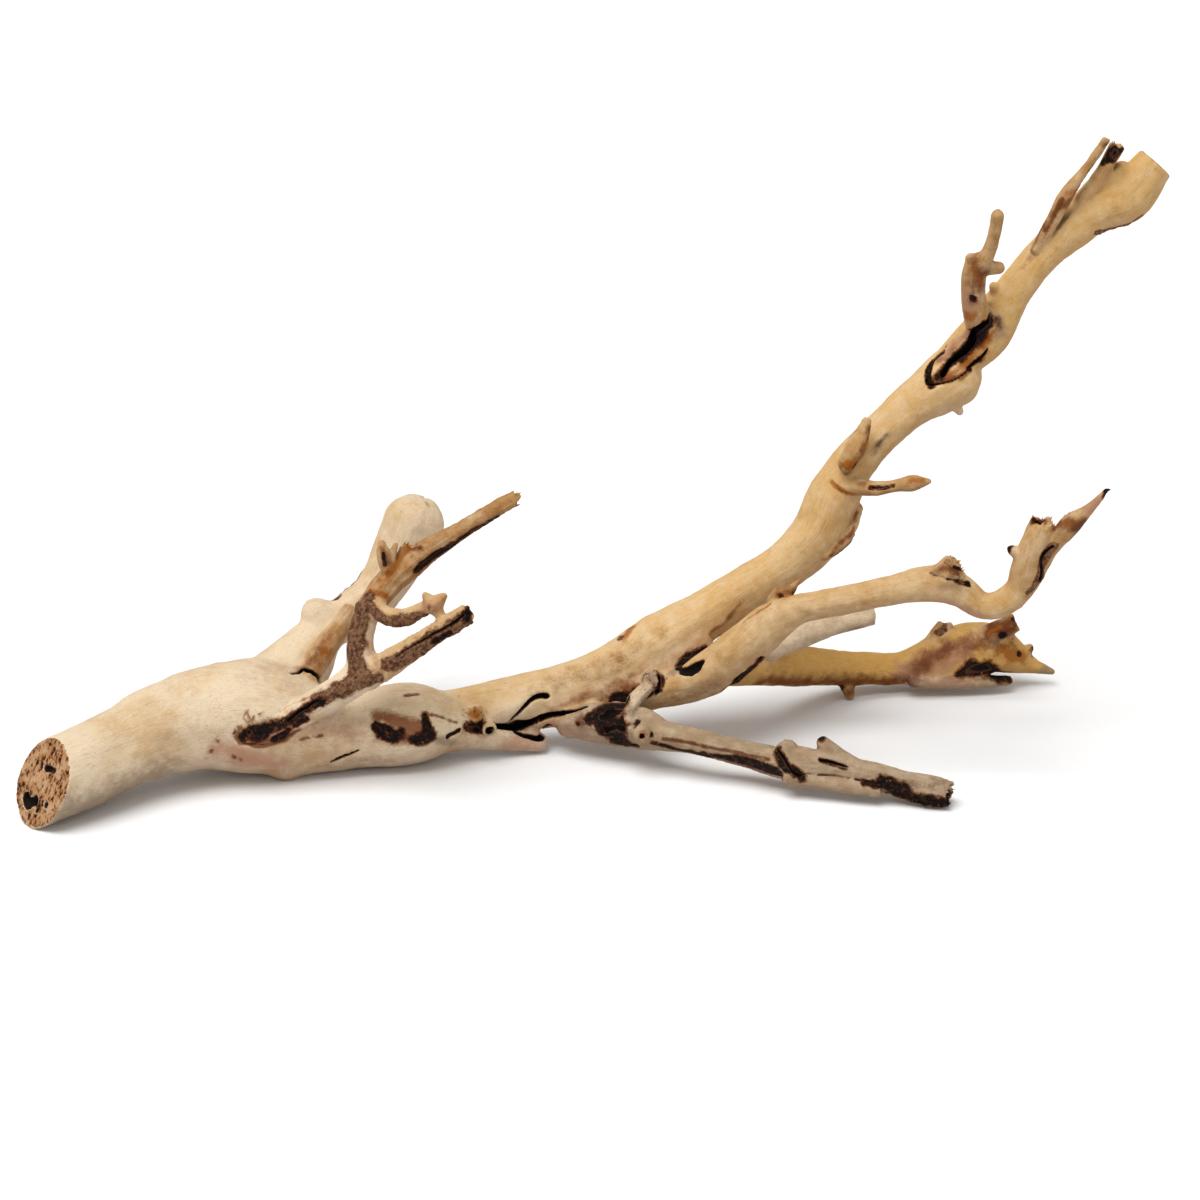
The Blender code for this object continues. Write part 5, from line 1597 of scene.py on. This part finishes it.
class Signal:
    """A shader socket that plain expressions can add, scale and compare."""

    def __init__(self, sheet: Sheet, socket: bpy.types.NodeSocket) -> None:
        """Wrap a socket of a material's nodes."""
        self.sheet = sheet
        self.socket = socket

    def math(self, operation: str, first: Any, second: Any) -> Signal:
        """One Math node on two values."""
        node = self.sheet.node("ShaderNodeMath", {"operation": operation}, {0: first, 1: second})
        return Signal(self.sheet, node.outputs[0])

    def __add__(self, other: Any) -> Signal:
        """Sum."""
        return self.math("ADD", self, other)

    __radd__ = __add__

    def __sub__(self, other: Any) -> Signal:
        """Difference."""
        return self.math("SUBTRACT", self, other)

    def __rsub__(self, other: Any) -> Signal:
        """Difference the other way round."""
        return self.math("SUBTRACT", other, self)

    def __mul__(self, other: Any) -> Signal:
        """Product."""
        return self.math("MULTIPLY", self, other)

    __rmul__ = __mul__

    def over(self, other: Any) -> Signal:
        """The larger of two values."""
        return self.math("MAXIMUM", self, other)

    def step(self, low: float, high: float) -> Signal:
        """Rise smoothly from 0 at low to 1 at high."""
        node = self.sheet.node("ShaderNodeMapRange", {"interpolation_type": "SMOOTHSTEP"},
                               {0: self, 1: low, 2: high})
        return Signal(self.sheet, node.outputs[0])

    def stretched(self, x: float, y: float, z: float) -> Signal:
        """A vector with each of its parts scaled."""
        node = self.sheet.node("ShaderNodeVectorMath", {"operation": "MULTIPLY"}, {0: self, 1: (x, y, z)})
        return Signal(self.sheet, node.outputs[0])


class Sheet(Nodes):
    """The nodes of one material."""

    def __init__(self, name: str) -> None:
        """Start a material with a Principled shader."""
        self.material = bpy.data.materials.new(name)
        self.material.use_nodes = True
        self.tree = self.material.node_tree
        self.shader = self.tree.nodes["Principled BSDF"]

    def attribute(self, name: str, output: str = "Fac") -> Signal:
        """Read what is stored on the mesh under a name."""
        node = self.node("ShaderNodeAttribute", {"attribute_name": name}, {})
        return Signal(self, node.outputs[output])

    def noise(self, vector: Signal, scale: float, detail: float = 2.0, roughness: float = 0.5) -> Signal:
        """Smooth noise between 0 and 1."""
        node = self.node("ShaderNodeTexNoise", {}, {
            "Vector": vector, "Scale": scale, "Detail": detail, "Roughness": roughness,
        })
        return Signal(self, node.outputs[0])

    def mix(self, share: Any, first: Any, second: Any, way: str = "MIX") -> Signal:
        """Mix two colours.

        Args:
            share: the second colour's share.
            first: the first colour.
            second: the second colour.
            way: how they are mixed.

        Returns:
            The colour.
        """
        node = self.node("ShaderNodeMix", {"data_type": "RGBA", "blend_type": way},
                         {0: share, 6: first, 7: second})
        return Signal(self, node.outputs[2])

    def millimetres(self) -> Signal:
        """The place on the piece in millimetres."""
        node = self.node("ShaderNodeTexCoord", {}, {})
        return Signal(self, node.outputs["Object"]).stretched(1.0 / MM, 1.0 / MM, 1.0 / MM)


@dataclass(frozen=True)
class WoodFinish:
    """Blasted vine wood: cream and tan, with what is left of bark, rot and resin, and painted shade in its
    cuts, crevices and undersides.
    """

    cream: tuple[float, ...] = paint(223, 202, 171)
    tan: tuple[float, ...] = paint(203, 170, 127)
    straw: tuple[float, ...] = paint(208, 162, 88)
    tawny: tuple[float, ...] = paint(156, 106, 52)
    blush: tuple[float, ...] = paint(168, 122, 98)
    # Painted shade, multiplied onto the faces turned down.
    shade: tuple[float, ...] = paint(208, 203, 208)
    ash: tuple[float, ...] = paint(132, 114, 94)
    resin: tuple[float, ...] = paint(150, 84, 18)
    # Umber darkens the grain lines, and it is also the painted shade in the crevices.
    umber: tuple[float, ...] = paint(92, 58, 34)
    peat: tuple[float, ...] = paint(156, 110, 78)
    rust: tuple[float, ...] = paint(80, 40, 22)
    bark: tuple[float, ...] = paint(82, 50, 33)
    bark_light: tuple[float, ...] = paint(136, 99, 72)
    soot: tuple[float, ...] = paint(15, 7, 4)
    fleck: tuple[float, ...] = paint(134, 92, 42)
    end_grain: tuple[float, ...] = paint(188, 150, 114)
    roughness: float = 0.68
    specular: float = 0.12
    bump_height: float = 0.7 * MM

    def make(self) -> bpy.types.Material:
        """Build the material.

        Returns:
            The material.
        """
        sheet = Sheet("wood")
        place = sheet.millimetres()
        grain = sheet.attribute("grain", "Vector")
        marks = {mark: sheet.attribute(mark.value) for mark in Mark}
        loose = 1.0 - sheet.attribute("seam").step(0.1, 0.5)
        streak = sheet.noise(grain.stretched(0.035, 0.5, 0.5), 1.0, 4.0, 0.6)
        fibre = sheet.noise(grain.stretched(0.14, 1.9, 1.9), 1.0, 3.0, 0.6)
        cloud = sheet.noise(place, 0.028, 3.0)
        blotch = sheet.noise(place, 0.14, 3.0, 0.6)
        speck = sheet.noise(place, 0.9, 3.0, 0.65)

        bare = self.bare(sheet, cloud, streak, fibre, blotch, speck, loose)
        colour = self.stained_and_shaded(sheet, bare, marks, blotch, speck)
        colour = self.ended(sheet, colour, place, speck)
        colour = self.barked(sheet, colour, marks, place, speck)
        sheet.feed(sheet.shader, "Base Color", colour)

        bark = (marks[Mark.BARK] + 0.25 * (speck - 0.5)).step(0.46, 0.56)
        char = (marks[Mark.CHAR] + 0.25 * (speck - 0.5)).step(0.46, 0.56)
        sheet.feed(sheet.shader, "Roughness", self.roughness + 0.14 * bark + 0.1 * (fibre - 0.5))
        sheet.feed(sheet.shader, "Specular IOR Level", self.specular)
        crust = sheet.noise(place, 0.7, 4.0, 0.7)
        height = (0.5 * streak + 0.6 * fibre) * loose + 0.35 * speck + 1.6 * crust * bark.over(char)
        bump = sheet.node("ShaderNodeBump", {},
                          {"Strength": 0.7, "Distance": self.bump_height, "Height": height})
        sheet.feed(sheet.shader, "Normal", Signal(sheet, bump.outputs[0]))
        return sheet.material

    def bare(self, sheet: Sheet, cloud: Signal, streak: Signal, fibre: Signal, blotch: Signal,
             speck: Signal, loose: Signal) -> Signal:
        """Colour of the bare wood, with painted shade on the faces turned down and in the crevices.

        Args:
            sheet: the material's nodes.
            cloud: the widest noise.
            streak: noise drawn out along the grain.
            fibre: finer noise along the grain.
            blotch: noise of finger-wide patches.
            speck: the finest noise.
            loose: 1 away from the seams between limbs.

        Returns:
            The colour.
        """
        tone = cloud * 0.8 + blotch * 0.3 + (streak - 0.5) * 0.2 * loose
        colour = sheet.mix(tone.step(0.46, 0.76), self.cream, self.tan)
        yellow = sheet.attribute("yellow") * (0.7 * blotch + 0.3 * streak + 0.5)
        colour = sheet.mix(yellow.step(0.08, 0.95), colour, self.straw)
        tawny = sheet.attribute("tawny") * (1.1 * blotch + 0.4 * streak + 0.25)
        colour = sheet.mix(tawny.step(0.05, 1.0), colour, self.tawny)
        lines = fibre.step(0.52, 0.76) * loose * 0.34 + speck.step(0.56, 0.72) * 0.2
        colour = sheet.mix(lines, colour, self.umber)
        # Painted shade: the faces turned down are multiplied by the shade colour.
        under = sheet.attribute("under") + (blotch - 0.5) * 0.35 + (cloud - 0.5) * 0.3
        colour = sheet.mix(under.step(0.05, 0.9) * 0.9, colour, self.shade, "MULTIPLY")
        # Painted shade: the crevices are darkened towards umber.
        crease = sheet.attribute("crevice") + (blotch - 0.5) * 0.3
        return sheet.mix(crease.step(0.3, 1.0) * 0.7, colour, self.umber)

    def stained_and_shaded(self, sheet: Sheet, colour: Signal, marks: dict[Mark, Signal], blotch: Signal,
                speck: Signal) -> Signal:
        """Lay the soft stains, and the few painted shadows drawn like them, on the bare wood.

        Args:
            sheet: the material's nodes.
            colour: the bare wood's colour.
            marks: strength of each mark.
            blotch: noise of finger-wide patches.
            speck: the finest noise.

        Returns:
            The colour.
        """
        rough = (blotch - 0.5) * 0.4 + (speck - 0.5) * 0.25
        for mark, stain, low, share, way in (
            (Mark.PINK, self.blush, 0.25, 0.75, "MIX"),
            (Mark.GREY, self.ash, 0.25, 0.75, "MIX"),
            (Mark.BROWN, self.peat, 0.3, 0.95, "MULTIPLY"),
            (Mark.AMBER, self.resin, 0.36, 0.85, "MIX"),
        ):
            colour = sheet.mix((marks[mark] + rough).step(low, 0.82) * share, colour, stain, way)
        return colour

    def ended(self, sheet: Sheet, colour: Signal, place: Signal, speck: Signal) -> Signal:
        """Show the pores of the end grain on the sawn faces.

        Args:
            sheet: the material's nodes.
            colour: the wood's colour.
            place: the place in millimetres.
            speck: the finest noise.

        Returns:
            The colour.
        """
        pores = sheet.noise(place.stretched(1.0, 1.0, 0.45), 0.55, 4.0, 0.65)
        patches = sheet.noise(place, 0.16, 3.0, 0.6)
        face = sheet.mix(patches.step(0.32, 0.62) * 0.7, self.end_grain, self.tawny)
        face = sheet.mix((pores + 0.5 * (patches - 0.5)).step(0.48, 0.6), face, self.peat, "MULTIPLY")
        face = sheet.mix((pores + 0.6 * (patches - 0.5)).step(0.6, 0.67), face, self.soot)
        sawn = (sheet.attribute("sawn") + (speck - 0.5) * 0.8).step(0.25, 0.6)
        return sheet.mix(sawn, colour, face)

    def barked(self, sheet: Sheet, colour: Signal, marks: dict[Mark, Signal], place: Signal,
               speck: Signal) -> Signal:
        """Lay bark and rot over the wood, and paint shade over what lies deep in a cut.

        Args:
            sheet: the material's nodes.
            colour: the wood's colour.
            marks: strength of each mark.
            place: the place in millimetres.
            speck: the finest noise.

        Returns:
            The colour.
        """
        ragged = 0.5 * (sheet.noise(place, 0.55, 4.0, 0.65) - 0.5) + 0.15 * (speck - 0.5)
        flake = sheet.noise(place, 0.5, 4.0, 0.65)
        crust = sheet.mix(flake.step(0.38, 0.62), self.bark, self.bark_light)
        bark = marks[Mark.BARK] + ragged
        colour = sheet.mix(bark.step(0.25, 0.5) * 0.7, colour, self.peat, "MULTIPLY")
        # At the bark's edge the crust keeps the plain dark bark colour, a thin rim of painted shadow along
        # the raised bark.
        crust = sheet.mix(bark.step(0.48, 0.56), self.bark, crust)
        crust = sheet.mix(flake.step(0.36, 0.3), crust, self.soot)
        colour = sheet.mix(bark.step(0.47, 0.51), colour, crust)
        rot = sheet.mix(flake.step(0.5, 0.68) * 0.7, self.soot, self.rust)
        rot = sheet.mix(sheet.noise(place, 0.33, 4.0, 0.7).step(0.62, 0.68), rot, self.fleck)
        char = marks[Mark.CHAR] + ragged
        colour = sheet.mix(char.step(0.18, 0.48), colour, self.peat, "MULTIPLY")
        colour = sheet.mix(char.step(0.44, 0.6), colour, rot)
        # Painted shade: what lies deep in a split or hollow turns bark brown, then near black.
        cut = sheet.attribute("cut") + (speck - 0.5) * 0.2
        colour = sheet.mix(cut.step(0.05, 0.4), colour, self.bark)
        return sheet.mix(cut.step(0.3, 0.8), colour, self.soot)


@dataclass
class Studio:
    """A pale floor, soft light and the camera."""

    target: Point = (0.0005, -0.018, 0.0952)
    elevation: float = 22.0
    lens: float = 85.0
    sensor: float = 36.0
    distance: float = 1.473
    floor_size: float = 12.0
    surrounding: float = 0.44

    def build(self) -> None:
        """Set up the floor, the lights and the camera."""
        self.add_floor()
        self.add_light("key", (-0.45, -0.32, 1.5), spread=45.0, strength=2.6)
        self.add_light("fill", (0.9, -0.9, 1.1), spread=80.0, strength=0.25)
        self.add_world()
        self.add_camera()

    def add_floor(self) -> None:
        """Lay the floor under the branch."""
        half = self.floor_size / 2.0
        data = bpy.data.meshes.new("floor")
        data.from_pydata([(-half, -half, 0.0), (half, -half, 0.0), (half, half, 0.0), (-half, half, 0.0)],
                         [], [(0, 1, 2, 3)])
        floor = bpy.data.objects.new("floor", data)
        bpy.context.scene.collection.objects.link(floor)
        sheet = Sheet("floor")
        sheet.feed(sheet.shader, "Base Color", (0.9, 0.9, 0.9, 1.0))
        sheet.feed(sheet.shader, "Roughness", 0.9)
        sheet.feed(sheet.shader, "Specular IOR Level", 0.1)
        data.materials.append(sheet.material)

    def add_light(self, name: str, place: Point, spread: float, strength: float) -> None:
        """Light the branch softly from one side.

        Args:
            name: the light's name.
            place: the side it comes from.
            spread: how wide it looks from the branch, in degrees.
            strength: its watts for each square metre.
        """
        data = bpy.data.lights.new(name, "SUN")
        data.angle = math.radians(spread)
        data.energy = strength
        light = bpy.data.objects.new(name, data)
        light.location = place
        light.rotation_euler = (Vector(self.target) - Vector(place)).to_track_quat("-Z", "Y").to_euler()
        bpy.context.scene.collection.objects.link(light)

    def add_world(self) -> None:
        """Fill the shadows from a plain white surrounding."""
        world = bpy.data.worlds.new("surrounding")
        bpy.context.scene.world = world
        world.use_nodes = True
        background = world.node_tree.nodes["Background"]
        background.inputs[0].default_value = (1.0, 1.0, 1.0, 1.0)
        background.inputs[1].default_value = self.surrounding

    def add_camera(self) -> None:
        """Place the camera in front of the branch and a little above it."""
        data = bpy.data.cameras.new("camera")
        data.lens = self.lens
        data.sensor_width = self.sensor
        data.clip_start = 0.01
        camera = bpy.data.objects.new("camera", data)
        tilt = math.radians(self.elevation)
        back = Vector((0.0, -math.cos(tilt), math.sin(tilt)))
        camera.location = Vector(self.target) + back * self.distance
        camera.rotation_euler = (math.pi / 2.0 - tilt, 0.0, 0.0)
        bpy.context.scene.collection.objects.link(camera)
        bpy.context.scene.camera = camera
        bpy.context.scene.view_settings.view_transform = "Standard"


def hand_over(piece: bpy.types.Object, material: bpy.types.Material) -> None:
    """Dress a piece and tell the frame what it stands for.

    Args:
        piece: the finished piece.
        material: its finish.
    """
    piece.data.materials.clear()
    piece.data.materials.append(material)
    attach(piece, "root")
    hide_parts(NODE)
    log.info("%s: %d faces", piece.name, len(piece.data.polygons))


def main() -> None:
    """Build the branch and its studio."""
    logging.basicConfig(level=logging.INFO, format="%(message)s")
    Studio().build()
    wood = WoodFinish().make()
    branch = Branch()
    trunk = branch.build()
    flaked = branch.patch(trunk.data, branch.barked_faces(trunk.data), "flaked")
    torn = branch.patch(trunk.data, branch.torn_faces(trunk.data), "torn")
    hand_over(trunk, wood)
    flakes = Scatter("bark_flakes", Bit.FLAKE, density=4.0e5, length=2.6, width=1.2, thickness=0.35, seed=3)
    fibres = Scatter("torn_fibres", Bit.FIBRE, density=1.2e5, length=1.7, width=1.5, thickness=1.0, seed=4)
    hand_over(flakes.build(flaked, wood), wood)
    hand_over(fibres.build(torn, wood), wood)


if __name__ == "__main__":
    main()
